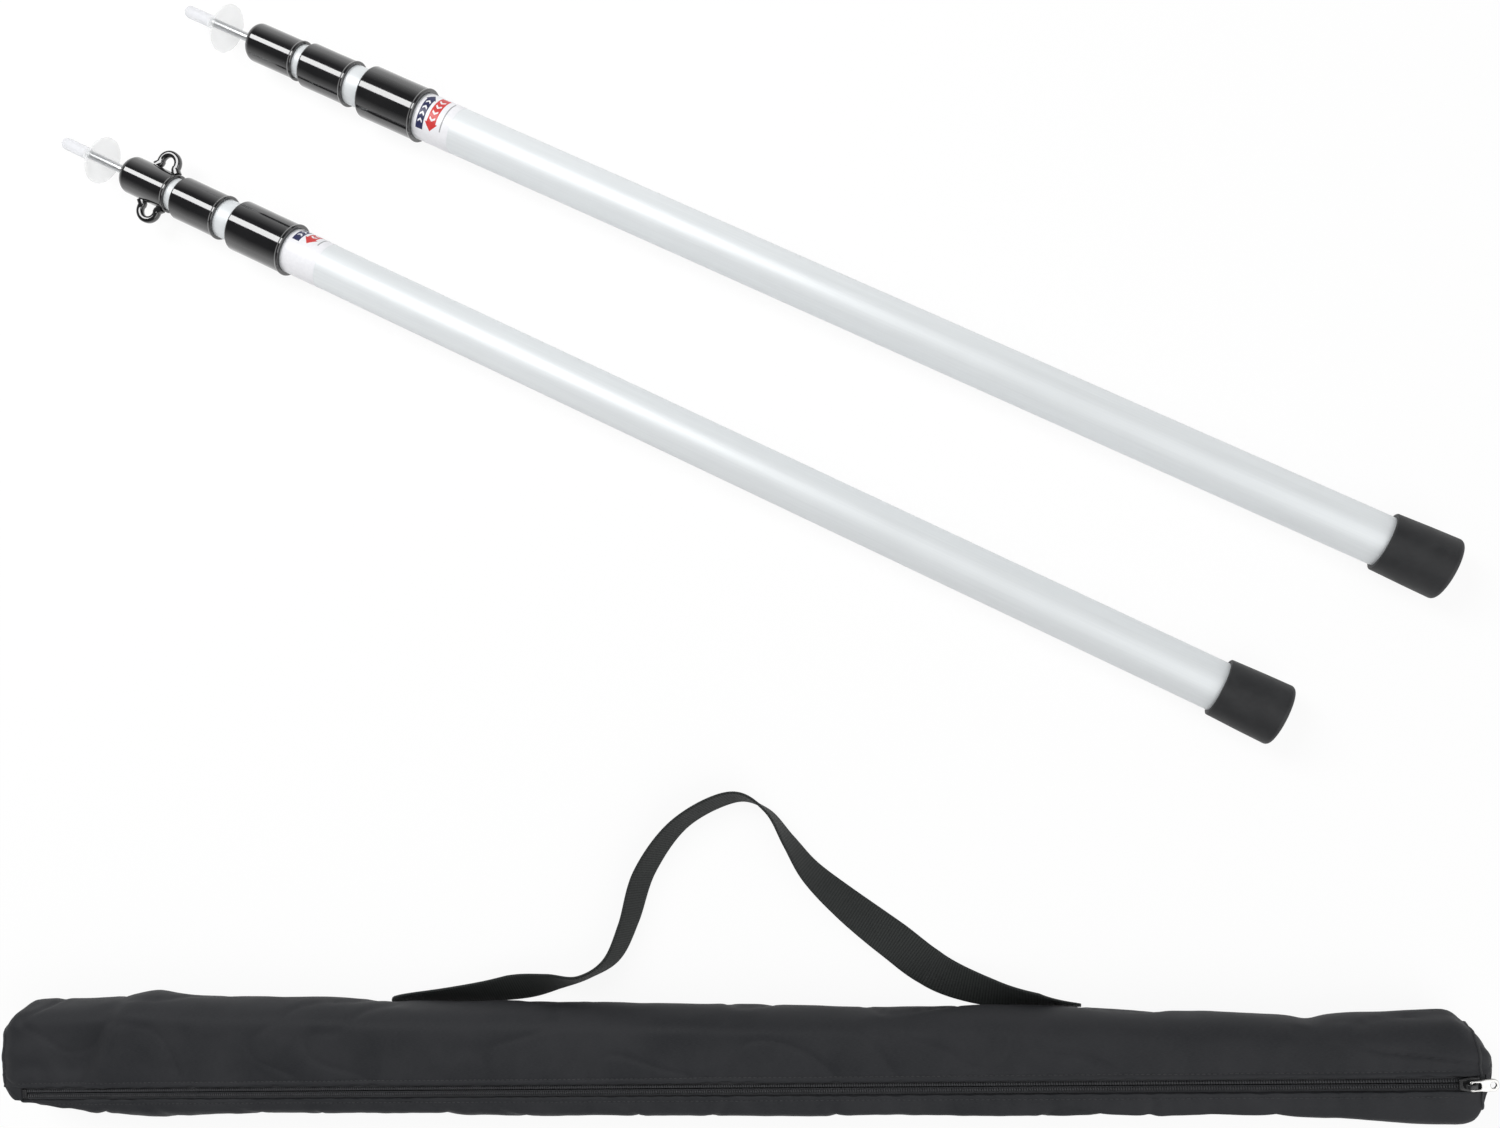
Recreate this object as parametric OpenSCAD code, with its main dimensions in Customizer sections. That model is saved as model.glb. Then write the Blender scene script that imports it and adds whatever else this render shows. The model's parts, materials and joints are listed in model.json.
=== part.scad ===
// Pair of telescopic twist-lock tarp poles lying beside their zipped carry bag
// Millimetres. The bag runs along X, everything lies on the plane z = 0.

/* [Tubes] */
// Outside diameter of the outer tube
tube_d = 32; // [28:0.5:40]
// Wall of the outer tube
tube_wall = 1.2; // [0.8:0.1:1.6]
// Length of the outer tube
outer_len = 760; // [500:5:900]
// Radial gap between one tube and the next
slide_gap = 0.8; // [0.7:0.1:1.2]
// Wall of the middle tube
mid_wall = 1.1; // [0.8:0.1:1.5]
// Wall of the inner tube
inner_wall = 1; // [0.8:0.1:1.4]
// Bare middle tube that shows when the pole is closed
mid_show = 13; // [6:1:30]
// Bare inner tube that shows when the pole is closed
inner_show = 6.5; // [3:0.5:20]

/* [Rubber foot] */
// Height of the foot
foot_h = 41; // [25:1:60]
// Rubber under the end of the tube
foot_floor = 6; // [4:0.5:10]
// Rubber wall at the top of the foot
foot_wall = 2.5; // [1.5:0.1:4]
// Growth of the foot's radius toward the ground
foot_flare = 1.3; // [0.5:0.1:3]
// Rounding of the ground edge
foot_round = 3; // [1:0.5:5]
// Bevel of the foot's top edge
foot_bevel = 1; // [0.5:0.1:1.4]

/* [Collars and bushes] */
// Length of the collar on the outer tube
big_collar_len = 45; // [30:1:70]
// Wall of the collar on the outer tube
big_collar_wall = 2.3; // [1.5:0.1:3.5]
// Length of the collar on the middle tube
mid_collar_len = 37; // [28:1:60]
// Wall of the collar on the middle tube
mid_collar_wall = 1.6; // [1.2:0.1:2.5]
// Thickness of a collar's inward lip
collar_lip = 3; // [2:0.5:5]
// Rounding of a collar's upper edge
collar_round = 1.6; // [0.5:0.1:2]
// Radius of the bead round a collar's lower edge
bead_r = 0.6; // [0.3:0.1:1]
// Thickness of a guide bush's flange
bush_flange = 2; // [1:0.5:4]
// Length of a guide bush inside its tube
bush_len = 20; // [12:1:40]
// Length of the direction label
label_len = 27; // [15:1:40]
// Bare tube between the label and the collar
label_gap = 1; // [0.5:0.5:5]
// Thickness of the direction label
label_t = 0.15; // [0.1:0.05:0.3]

/* [Twist lock] */
// Gap between the expander and the tube it grips
lock_gap = 0.3; // [0.25:0.05:0.6]
// Length of the expander
expander_h = 26; // [20:1:40]
// Wall of the expander at its open end
expander_wall = 2.3; // [1.5:0.1:3]
// Length of the wedge nut
wedge_h = 12; // [8:1:16]
// Part of the wedge nut that stands out of the expander
wedge_out = 5; // [3:0.5:8]
// Travel of the wedge nut from free to locked
wedge_travel = 1; // [0.5:0.1:2]
// Radius of the lock's stud
stud_r = 3; // [2.5:0.1:4]
// Thickness of the stud's head
head_t = 3; // [2:0.5:5]
// Growth of the stud's radius at its head
head_lip = 2; // [1:0.1:3]
// Length of the stud inside the plug
stud_hold = 14; // [8:1:18]
// Length of the plug inside its tube
plug_len = 20; // [12:1:40]
// Thickness of the plug's flange
plug_flange = 4; // [2:0.5:8]
// Width of the slots in the expander
slot_w = 2.5; // [1.5:0.1:4]
// Length of the slots in the expander
slot_h = 20; // [16:0.5:20]
// Depth of the expander's tapered mouth
taper_h = 14; // [12:0.5:16]
// Growth of the taper's radius for each millimetre of its depth
taper_slope = 0.3; // [0.2:0.01:0.3]

/* [Top cap and spike] */
// Length of the top cap
cap_len = 40; // [25:1:60]
// Wall of the top cap
cap_wall = 1.5; // [1:0.1:3]
// Solid thickness of the cap above the inner tube
cap_head = 7; // [4:0.5:12]
// Rounding of the cap's top edge
cap_round = 5; // [2:0.5:6]
// Length of the cap's boss inside the inner tube
cap_boss = 12; // [10:1:20]
// Radius of the spike
pin_r = 3; // [2:0.1:3.5]
// Length of the spike outside the cap
pin_len = 37; // [27:1:60]
// Length of the spike inside the cap
pin_hold = 15; // [8:1:16]
// Length of the spike's bevelled end
pin_bevel = 2; // [1:0.5:3]
// Radius of the hole in a guy loop
loop_hole_r = 4.25; // [3:0.05:6]
// Width of the bar round the hole
loop_bar = 3.8; // [2.5:0.1:5]
// Thickness of a guy loop
loop_t = 5; // [3:0.5:8]
// Distance of the loop's hole from the cap's lower edge
loop_place = 14; // [10:1:20]
// Gap between the cap's side and the loop's hole
loop_gap = 0.4; // [0:0.1:2]

/* [Spike cover] */
// Radius of the cover's rim
rim_r = 17; // [10:0.5:18]
// Depth of the cover's skirt
skirt_h = 15; // [11:0.5:20]
// Length of the cover's tail
tail_len = 21; // [10:1:30]
// Radius of the cover's tail
tail_r = 4.4; // [4.2:0.1:6]
// Thickness of the cover's rim
rim_t = 1.2; // [0.8:0.1:2]
// Grip of the cover on the end of the spike
pin_grip = 3; // [2:0.5:6]
// Solid part of the cover between its hollow and its tail
throat_h = 4; // [3:0.5:6]

/* [Bag] */
// Room in the bag beyond the length of a closed pole
bag_spare = 50; // [40:1:120]
// Height of the bag as it lies
bag_h = 46; // [40:1:70]
// Reach of the bag behind its axis, at the middle
bag_back = 35; // [32:0.5:50]
// Reach of the bag in front of its axis
bag_front = 34.5; // [30:0.5:50]
// Growth of the rear reach for each millimetre toward the left end
bag_taper = 0.0187; // [0:0.0001:0.02]
// Reach of the rounded rear side
side_back = 14; // [10:0.5:16]
// Depth of an end panel
end_depth = 24; // [15:1:40]
// Height of an end panel's tip against the bag's height
end_share = 0.4; // [0.2:0.05:0.7]
// Width of an end panel's tip against the bag's width
tip_share = 0.15; // [0.1:0.05:0.5]
// Thickness of the bag's cloth with its lining
cloth_t = 1.2; // [0.8:0.1:2]

/* [Zip and strap] */
// Distance of the zip in front of the bag's axis, at the middle
zip_front = 13; // [8:0.5:15]
// Angle between the zip and the bag's axis
zip_skew = 0.6; // [0:0.1:0.8]
// Width of the slit between the folded edges
slit_w = 9; // [8:0.5:12]
// Distance of the zip's right end from the tip of the bag
zip_rest = 7; // [5:0.5:12]
// Width of one zip tape
tape_w = 8.5; // [7:0.5:10]
// Thickness of a zip tape
tape_t = 0.7; // [0.4:0.1:1]
// Width of one row of teeth
tooth_w = 2.2; // [1.5:0.1:2.6]
// Height of the teeth
tooth_h = 1.6; // [1:0.1:2.4]
// Gap between the two rows of teeth
chain_gap = 1.2; // [1:0.1:1.5]
// Length of the stops at the ends of the chain
stop_len = 3; // [2:0.5:5]
// Length of the zip slider
slider_len = 12; // [8:0.5:14]
// Thickness of the slider's plates
plate_t = 1.4; // [1:0.1:2]
// Width of the bridge on the slider
bridge_w = 3; // [2:0.1:3.5]
// Length of the bridge on the slider
bridge_len = 7; // [6:0.5:8]
// Height of the pull's bar above the slider's upper plate
bar_place = 2.6; // [2.2:0.1:3.5]
// Radius of the pull's bar
bar_r = 0.95; // [0.7:0.05:1.1]
// Thickness of the bridge above the pull's bar
bridge_top = 2; // [1.5:0.1:3]
// Length of the pull
pull_len = 16; // [14:1:30]
// Width of the pull
pull_w = 7; // [6:0.5:8]
// Thickness of the pull
pull_t = 1.4; // [1:0.1:1.8]
// Width of the pull's arms
pull_arm = 1.2; // [0.8:0.1:1.6]
// Gap between the bridge and the pull's tab
pull_gap = 2; // [1.5:0.1:3]
// Width of the strap's webbing
strap_w = 25; // [20:1:38]
// Thickness of the strap's webbing
strap_t = 1.5; // [1:0.1:3]

/* [Layout] */
// Angle between the poles and the bag
pole_angle = 29; // [20:1:35]
// Place of the front pole's foot to the right of the bag's middle
front_foot_x = 388; // [300:1:450]
// Place of the front pole's foot behind the bag's axis
front_foot_y = 205; // [120:1:260]
// Distance between the two poles' axes
pole_spacing = 122; // [70:1:200]
// Distance of the rear pole's foot behind the front pole's, along the poles
pole_stagger = 48; // [0:1:120]

/* [Hidden] */
$fn = 64;
// Gap between pieces that are pressed or glued together
seat = 0.05;
// Radial gap of a part that turns or slides in its guide
run_fit = 0.08;
// Gap between faces that pass each other
clear = 0.3;
// Gap under a section that rests on its stop
stop_gap = 0.6;
// Overlap of shapes joined into one solid, and overshoot of a cut
over = 1;

// Radii of the tubes
tube_r = tube_d / 2;
tube_ri = tube_r - tube_wall;
mid_r = tube_ri - slide_gap;
mid_ri = mid_r - mid_wall;
inner_r = mid_ri - slide_gap;
inner_ri = inner_r - inner_wall;

// Twist lock, counted from the lower end of its stud
head_r = stud_r + head_lip;
wedge_z = head_t + stop_gap;
expander_z = wedge_z + wedge_out;
plug_z = expander_z + expander_h + clear;
lock_len = plug_z + plug_flange;

// Places along a pole, counted from the ground face of its foot
outer_top = foot_floor + outer_len;
big_top = outer_top + bush_flange + collar_lip;
mid_base = foot_floor + stop_gap;
mid_z = mid_base + lock_len;
mid_collar_top = big_top + mid_show + mid_collar_len;
mid_top = mid_collar_top - bush_flange - collar_lip;
inner_base = mid_z + plug_len + stop_gap;
inner_z = inner_base + lock_len;
cap_z = mid_collar_top + inner_show;
cap_top = cap_z + cap_len;
inner_top = cap_top - cap_head;
pin_z = cap_top - pin_hold;
pin_top = cap_top + pin_len;
socket_top = pin_top + clear;
mouth_z = pin_top - pin_grip;
tail_z = mouth_z + throat_h;
rim_z = tail_z - skirt_h;
pole_len = tail_z + tail_len;
cap_r = inner_r + cap_wall;
// Curves of the cover's skirt and of the hollow in it
skirt_curve = 1.7;
hollow_curve = 1.35;
foot_r = tube_r + foot_wall + foot_flare;

// Bag
bag_len = pole_len + bag_spare;
seam_x = bag_len / 2 - end_depth;
arc_n = 10;
// Curve that draws an end panel's width in to its tip
tip_curve = 2.5;
mid_h = bag_h / 2;
// Reach of the rounded front side, which starts beyond the zip's front tape
side_front = bag_front - zip_front - seam_x * tan(zip_skew) - tape_w - clear;

// Zip, in its own frame along the slit
tape_top = bag_h - cloth_t - seat;
tape_base = tape_top - tape_t;
tooth_out = chain_gap / 2 + tooth_w;
tooth_top = tape_top + tooth_h;
zip_left = -seam_x / cos(zip_skew) + over;
zip_right = (bag_len / 2 - zip_rest) / cos(zip_skew);
plate_z = tooth_top + clear;
low_z = tape_base - clear - plate_t;
lip_t = slit_w / 2 - clear - tooth_out - clear;
slider_x = zip_right - stop_len - clear - slider_len / 2;
bar_z = plate_z + plate_t + bar_place;
// Droop of the pull at rest, which keeps its end clear of the teeth
pull_droop = asin((bar_z - pull_t / 2 - tooth_top - clear) / pull_len);

// Strap route from the bag's middle: x, y and the roll of the webbing.
// At a roll of 0 it lies flat, at 90 it stands on its edge.
strap_route = [
    [-208, 39.8, 50], [-172, 39.4, 47], [-138, 40.5, 42], [-110, 43, 38], [-88, 46.5, 54], [-66, 49.5, 75],
    [-46, 61, 74], [-33, 85, 71], [-20, 119, 66], [6, 150, 68], [42, 166, 68], [64, 157, 82],
    [78, 136, 98], [91, 116, 114], [112, 95, 134], [141, 70, 158], [168, 48, 184], [203, 35.6, 214],
    [232, 31.4, 236], [258, 30.3, 246]
];
strap_steps = 3;

// The set's box, whose middle is the origin
rear_foot_x = front_foot_x + pole_spacing * sin(pole_angle) + pole_stagger * cos(pole_angle);
rear_foot_y = front_foot_y + pole_spacing * cos(pole_angle) - pole_stagger * sin(pole_angle);
set_left = -bag_len / 2;
foot_corner = (foot_r - foot_round) * sin(pole_angle) - foot_round * cos(pole_angle) + foot_round;
set_right = rear_foot_x + foot_corner;
set_front = -bag_front;
set_back = rear_foot_y + (pole_len - tail_r) * sin(pole_angle) + tail_r;
set_x = -(set_left + set_right) / 2;
set_y = -(set_front + set_back) / 2;

POLE_NODES = [
    "foot", "outer_tube", "outer_collar", "outer_bush", "lock_label",
    "mid_tube", "mid_collar", "mid_bush", "mid_plug", "mid_stud", "mid_expander", "mid_wedge",
    "inner_tube", "inner_plug", "inner_stud", "inner_expander", "inner_wedge",
    "top_cap", "spike", "spike_cover"
];

// Points of an arc round c
function arc(c, r, from, to, n = 6) =
    [for (i = [0:n]) c + r * [cos(from + (to - from) * i / n), sin(from + (to - from) * i / n)]];

// Point on a smooth curve between b and c
function along(a, b, c, d, t) =
    0.5 * (2 * b + (c - a) * t + (2 * a - 5 * b + 4 * c - d) * t * t + (3 * b - a - 3 * c + d) * t * t * t);

// A pole stands on its foot along Z and is then laid down
module lay_pole(x, y) {
    translate([set_x + x, set_y + y, foot_r]) rotate([0, 0, -pole_angle]) rotate([0, -90, 0]) children();
}

module front_pole() {
    lay_pole(front_foot_x, front_foot_y) children();
}

module rear_pole() {
    lay_pole(rear_foot_x, rear_foot_y) children();
}

module at_bag() {
    translate([set_x, set_y, 0]) children();
}

// X along the slit, Y toward the rear
module at_zip() {
    at_bag() translate([0, -zip_front, 0]) rotate([0, 0, zip_skew]) children();
}

module ring(r_in, r_out, z0, z1) {
    difference() {
        translate([0, 0, z0]) cylinder(r = r_out, h = z1 - z0);
        translate([0, 0, z0 - over]) cylinder(r = r_in, h = z1 - z0 + 2 * over);
    }
}

// Outer tube group

module foot() {
    outline = concat(
        [[0, 0]],
        arc([foot_r - foot_round, foot_round], foot_round, -90, 0),
        [
            [foot_r - foot_flare, foot_h - foot_bevel], [foot_r - foot_flare - foot_bevel, foot_h],
            [tube_r + seat, foot_h], [tube_r + seat, foot_floor], [0, foot_floor]
        ]
    );
    color("#202022") rotate_extrude() polygon(outline);
}

module outer_tube() {
    color("#d4d6d8") ring(tube_ri, tube_r, foot_floor, outer_top);
}

// Sleeve with a bead below and a lip above, which holds a bush in its tube
module collar(r_in, r_lip, wall, z0, z1) {
    r_out = r_in + wall;
    outline = concat(
        [[r_in + seat, z0]],
        arc([r_out, z0 + bead_r], bead_r, -90, 90),
        arc([r_out - collar_round, z1 - collar_round], collar_round, 0, 90),
        [[r_lip + clear, z1], [r_lip + clear, z1 - collar_lip], [r_in + seat, z1 - collar_lip]]
    );
    color("#0c0c0d") rotate_extrude() polygon(outline);
}

module outer_collar() {
    collar(tube_r, mid_r, big_collar_wall, big_top - big_collar_len, big_top);
}

// Guide that sits in a tube's mouth under the collar's lip
module bush(r_tube, r_bore, r_slide, z_mouth) {
    outline = [
        [r_slide + run_fit, z_mouth - bush_len], [r_bore - seat, z_mouth - bush_len],
        [r_bore - seat, z_mouth], [r_tube, z_mouth],
        [r_tube, z_mouth + bush_flange], [r_slide + run_fit, z_mouth + bush_flange]
    ];
    color("#e8e8e4") rotate_extrude() polygon(outline);
}

module outer_bush() {
    bush(tube_r, tube_ri, mid_r, outer_top);
}

module lock_label() {
    top = big_top - big_collar_len - label_gap;
    color("#f4f4f4") ring(tube_r + seat, tube_r + seat + label_t, top - label_len, top);
}

// Twist lock pieces, with the lower end of the stud at z = base

module plug(base, r_bore, r_tube) {
    color("#3a3a3c") difference() {
        union() {
            translate([0, 0, base + plug_z]) cylinder(r = r_bore - lock_gap, h = plug_flange);
            translate([0, 0, base + lock_len]) cylinder(r = r_tube - seat, h = plug_len);
        }
        translate([0, 0, base + plug_z - over]) cylinder(r = stud_r + seat, h = stud_hold + over);
    }
}

module stud(base) {
    color("#b9bbbd") translate([0, 0, base]) {
        cylinder(r = head_r, h = head_t);
        cylinder(r = stud_r, h = plug_z + stud_hold);
    }
}

// Split sleeve with a tapered mouth
module expander(base, r_bore) {
    r_out = r_bore - lock_gap;
    r_mouth = r_out - expander_wall;
    r_neck = r_mouth - taper_slope * taper_h;
    outline = [
        [r_mouth, 0], [r_out, 0], [r_out, expander_h],
        [stud_r + run_fit, expander_h], [stud_r + run_fit, taper_h], [r_neck, taper_h]
    ];
    color("#d9d6cc") translate([0, 0, base + expander_z]) difference() {
        rotate_extrude() polygon(outline);
        for (turn = [0, 90]) {
            rotate([0, 0, turn]) translate([-r_out - over, -slot_w / 2, -over])
                cube([2 * (r_out + over), slot_w, slot_h + over]);
        }
    }
}

// Cone nut, keyed into the slots of the expander
module wedge(base, r_bore) {
    r_mouth = r_bore - lock_gap - expander_wall;
    r_low = r_mouth + taper_slope * (wedge_out - wedge_travel - clear);
    r_top = r_low - taper_slope * wedge_h;
    key_w = slot_w - 2 * clear;
    color("#8f8a7c") translate([0, 0, base + wedge_z]) difference() {
        union() {
            cylinder(r1 = r_low, r2 = r_top, h = wedge_h);
            translate([-r_mouth, -key_w / 2, wedge_out]) cube([2 * r_mouth, key_w, wedge_h - wedge_out]);
        }
        translate([0, 0, -over]) cylinder(r = stud_r + run_fit, h = wedge_h + 2 * over);
    }
}

// Middle section

module mid_tube() {
    color("#d4d6d8") ring(mid_ri, mid_r, mid_z, mid_top);
}

module mid_collar() {
    collar(mid_r, inner_r, mid_collar_wall, mid_collar_top - mid_collar_len, mid_collar_top);
}

module mid_bush() {
    bush(mid_r, mid_ri, inner_r, mid_top);
}

module mid_plug() {
    plug(mid_base, tube_ri, mid_ri);
}

module mid_stud() {
    stud(mid_base);
}

module mid_expander() {
    expander(mid_base, tube_ri);
}

module mid_wedge() {
    wedge(mid_base, tube_ri);
}

// Inner section

module inner_tube() {
    color("#d4d6d8") ring(inner_ri, inner_r, inner_z, inner_top);
}

module inner_plug() {
    plug(inner_base, mid_ri, inner_ri);
}

module inner_stud() {
    stud(inner_base);
}

module inner_expander() {
    expander(inner_base, mid_ri);
}

module inner_wedge() {
    wedge(inner_base, mid_ri);
}

// Cap over the end of the inner tube, with a boss inside it that holds the spike
module cap_body() {
    outline = concat(
        [[inner_r + seat, cap_z]],
        arc([cap_r, cap_z + bead_r], bead_r, -90, 90),
        arc([cap_r - cap_round, cap_top - cap_round], cap_round, 0, 90),
        [
            [0, cap_top], [0, inner_top - cap_boss], [inner_ri - seat, inner_top - cap_boss],
            [inner_ri - seat, inner_top], [inner_r + seat, inner_top]
        ]
    );
    difference() {
        rotate_extrude() polygon(outline);
        translate([0, 0, pin_z]) cylinder(r = pin_r + seat, h = pin_hold + over);
    }
}

// Closed ear beside the cap, its hole square to the pole
module guy_loop() {
    reach = cap_r + loop_gap + loop_hole_r;
    ear_r = loop_hole_r + loop_bar;
    root_r = inner_r + cap_wall / 2;
    translate([0, 0, cap_z + loop_place]) difference() {
        union() {
            translate([-loop_t / 2, reach, 0]) rotate([0, 90, 0]) cylinder(r = ear_r, h = loop_t);
            translate([-loop_t / 2, 0, -ear_r]) cube([loop_t, reach, 2 * ear_r]);
        }
        translate([0, 0, -ear_r - over]) cylinder(r = root_r, h = 2 * (ear_r + over));
        translate([-loop_t / 2 - over, reach, 0]) rotate([0, 90, 0])
            cylinder(r = loop_hole_r, h = loop_t + 2 * over);
    }
}

module plain_cap() {
    color("#0c0c0d") cap_body();
}

module guy_cap() {
    color("#0c0c0d") {
        cap_body();
        for (turn = [0, 180]) {
            rotate([0, 0, turn]) guy_loop();
        }
    }
}

module spike() {
    outline = [
        [0, pin_z], [pin_r, pin_z], [pin_r, pin_top - pin_bevel],
        [pin_r - pin_bevel / 2, pin_top], [0, pin_top]
    ];
    color("#c4c6c8") rotate_extrude() polygon(outline);
}

// Soft cover: a trumpet skirt below a round-ended tail
module spike_cover() {
    steps = 8;
    bore = pin_r + run_fit;
    rim_in = rim_r - rim_t;
    outside = [
        for (i = [0:steps]) let (s = i / steps)
            [tail_r + (rim_r - tail_r) * pow(1 - s, skirt_curve), rim_z + rim_t + (skirt_h - rim_t) * s]
    ];
    inside = [
        for (i = [steps:-1:0]) let (s = i / steps)
            [bore + (rim_in - bore) * pow(1 - s, hollow_curve), rim_z + (mouth_z - rim_z) * s]
    ];
    outline = concat(
        [[rim_r, rim_z]],
        outside,
        arc([0, pole_len - tail_r], tail_r, 0, 90),
        [[0, socket_top], [bore, socket_top]],
        inside
    );
    color("#eef2f2", 0.6) rotate_extrude() polygon(outline);
}

// Bag

function back_reach(x) = bag_back - bag_taper * x;
function slit_y(x) = -zip_front + x * tan(zip_skew);

// Round sides of the bag's section at x, inset by d, from the rear side's top to the front side's top
function section(x, d) = concat(
    [
        for (i = [0:arc_n]) let (a = 90 - 180 * i / arc_n)
            [x, back_reach(x) - side_back + (side_back - d) * cos(a), mid_h + (mid_h - d) * sin(a)]
    ],
    [
        for (i = [0:arc_n]) let (a = -90 - 180 * i / arc_n)
            [x, -bag_front + side_front + (side_front - d) * cos(a), mid_h + (mid_h - d) * sin(a)]
    ]
);

// The same section, open at the zip
function slit_section(x, d) = concat(
    [[x, slit_y(x) + slit_w / 2, bag_h - d]],
    section(x, d),
    [[x, slit_y(x) - slit_w / 2, bag_h - d]]
);

function reversed(list) = [for (i = [len(list) - 1:-1:0]) list[i]];

// Two triangles of a quad whose corners are point numbers
function quad(a, b, c, d) = [[a, b, c], [a, c, d]];

// Walls between rings of m points each
function walls(rings, m) = [
    for (k = [0:rings - 2], i = [0:m - 1]) let (j = (i + 1) % m)
        each quad(k * m + i, k * m + j, k * m + m + j, k * m + m + i)
];

module bag_panel() {
    spans = 8;
    places = [for (k = [0:spans]) seam_x * (2 * k / spans - 1)];
    rings = [for (x = places) each concat(slit_section(x, 0), reversed(slit_section(x, cloth_t)))];
    half = len(slit_section(0, 0));
    m = 2 * half;
    last = spans * m;
    ends = [
        for (i = [0:half - 2]) each concat(
            quad(i, m - 1 - i, m - 2 - i, i + 1),
            quad(last + i, last + i + 1, last + m - 2 - i, last + m - 1 - i)
        )
    ];
    color("#38383a") at_bag() polyhedron(rings, concat(walls(spans + 1, m), ends), convexity = 6);
}

// Ring of an end panel: the section at the seam, drawn in and moved out by an angle from 0 to 90
function end_ring(side, turn, d) =
    let (
        high = end_share + (1 - end_share) * cos(turn),
        wide = tip_share + (1 - tip_share) * pow(cos(turn), tip_curve),
        x = side * (seam_x + (end_depth - d) * sin(turn)),
        middle = (back_reach(side * seam_x) - bag_front) / 2
    )
    [for (p = section(side * seam_x, d)) [x, middle + (p.y - middle) * wide, mid_h + (p.z - mid_h) * high]];

// Triangles that close a ring of m points
function fan(first, m) = [for (i = [1:m - 2]) [first, first + i, first + i + 1]];

// Domed panel that closes an end of the bag
module bag_end(side) {
    steps = 5;
    turns = [for (k = [0:steps]) 90 * k / steps];
    m = len(section(0, 0));
    n = (steps + 1) * m;
    points = [for (d = [0, cloth_t], t = turns) each end_ring(side, t, d)];
    skin = concat(walls(steps + 1, m), fan(steps * m, m));
    lining = [for (f = skin) [for (i = reversed(f)) n + i]];
    seam = [for (i = [0:m - 1]) let (j = (i + 1) % m) each quad(n + i, n + j, j, i)];
    faces = concat(skin, lining, seam);
    at_bag() polyhedron(points, side > 0 ? faces : [for (f = faces) reversed(f)], convexity = 6);
}

module bag_left_end() {
    color("#38383a") bag_end(-1);
}

// The zip runs on over this end in a notch
module bag_right_end() {
    notch_x = seam_x - end_depth;
    notch_w = tape_w + clear;
    color("#38383a") difference() {
        bag_end(1);
        at_zip() translate([notch_x, -notch_w, low_z - clear])
            cube([zip_right + clear - notch_x, 2 * notch_w, bag_h]);
    }
}

// Zip

module zip_tape(side) {
    low = side > 0 ? chain_gap / 2 : -tape_w;
    color("#1b1b1d") at_zip() translate([zip_left, low, tape_base])
        cube([zip_right - zip_left, tape_w - chain_gap / 2, tape_t]);
}

module zip_teeth(side) {
    low = side > 0 ? chain_gap / 2 : -tooth_out;
    color("#111113") at_zip() translate([zip_left + stop_len, low, tape_top])
        cube([zip_right - zip_left - 2 * stop_len, tooth_w, tooth_h]);
}

module zip_rear_tape() {
    zip_tape(1);
}

module zip_front_tape() {
    zip_tape(-1);
}

module zip_rear_teeth() {
    zip_teeth(1);
}

module zip_front_teeth() {
    zip_teeth(-1);
}

// Blocks across both ends of the chain
module zip_stops() {
    color("#b9bbbd") at_zip() for (x = [zip_left, zip_right - stop_len]) {
        translate([x, -tooth_out, tape_top]) cube([stop_len, 2 * tooth_out, tooth_h]);
    }
}

// Plates above and below the chain, joined by a web between the rows of teeth
module zip_slider() {
    half_w = slit_w / 2 - clear;
    web_w = chain_gap - 2 * clear;
    web_len = slider_len / 3;
    lip_z = tape_top + clear;
    plate_top = plate_z + plate_t;
    color("#c4c6c8") at_zip() translate([slider_x, 0, 0]) difference() {
        union() {
            for (z = [plate_z, low_z]) {
                translate([-slider_len / 2, -half_w, z]) cube([slider_len, 2 * half_w, plate_t]);
            }
            translate([-web_len / 2, -web_w / 2, low_z]) cube([web_len, web_w, plate_top - low_z]);
            for (y = [-half_w, half_w - lip_t]) {
                translate([-slider_len / 2, y, lip_z]) cube([slider_len, lip_t, plate_top - lip_z]);
            }
            translate([-bridge_len / 2, -bridge_w / 2, plate_z])
                cube([bridge_len, bridge_w, bar_z + bridge_top - plate_z]);
        }
        translate([0, -bridge_w / 2 - over, bar_z]) rotate([-90, 0, 0])
            cylinder(r = bar_r + run_fit, h = bridge_w + 2 * over);
    }
}

// Bar through the slider's bridge, two arms and a tab with a hole
module zip_pull() {
    arm_y = bridge_w / 2 + clear;
    arm_len = bridge_len / 2 + pull_gap;
    bar_len = 2 * (arm_y + pull_arm);
    color("#c4c6c8") at_zip() translate([slider_x, 0, bar_z]) rotate([0, pull_droop, 0]) difference() {
        union() {
            translate([0, -bar_len / 2, 0]) rotate([-90, 0, 0]) cylinder(r = bar_r, h = bar_len);
            for (y = [-arm_y - pull_arm, arm_y]) {
                translate([0, y, -pull_t / 2]) cube([arm_len + over, pull_arm, pull_t]);
            }
            translate([arm_len, -pull_w / 2, -pull_t / 2]) cube([pull_len - arm_len, pull_w, pull_t]);
        }
        translate([pull_len - pull_w / 2, 0, -pull_t]) cylinder(r = pull_w / 4, h = 2 * pull_t);
    }
}

// Strap

function strap_point(i) = strap_route[min(max(i, 0), len(strap_route) - 1)];

// Points of the strap's middle line with their roll
strap_line = concat(
    [
        for (i = [0:len(strap_route) - 2], k = [0:strap_steps - 1]) let (t = k / strap_steps)
            along(strap_point(i - 1), strap_point(i), strap_point(i + 1), strap_point(i + 2), t)
    ],
    [strap_point(len(strap_route))]
);

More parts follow.
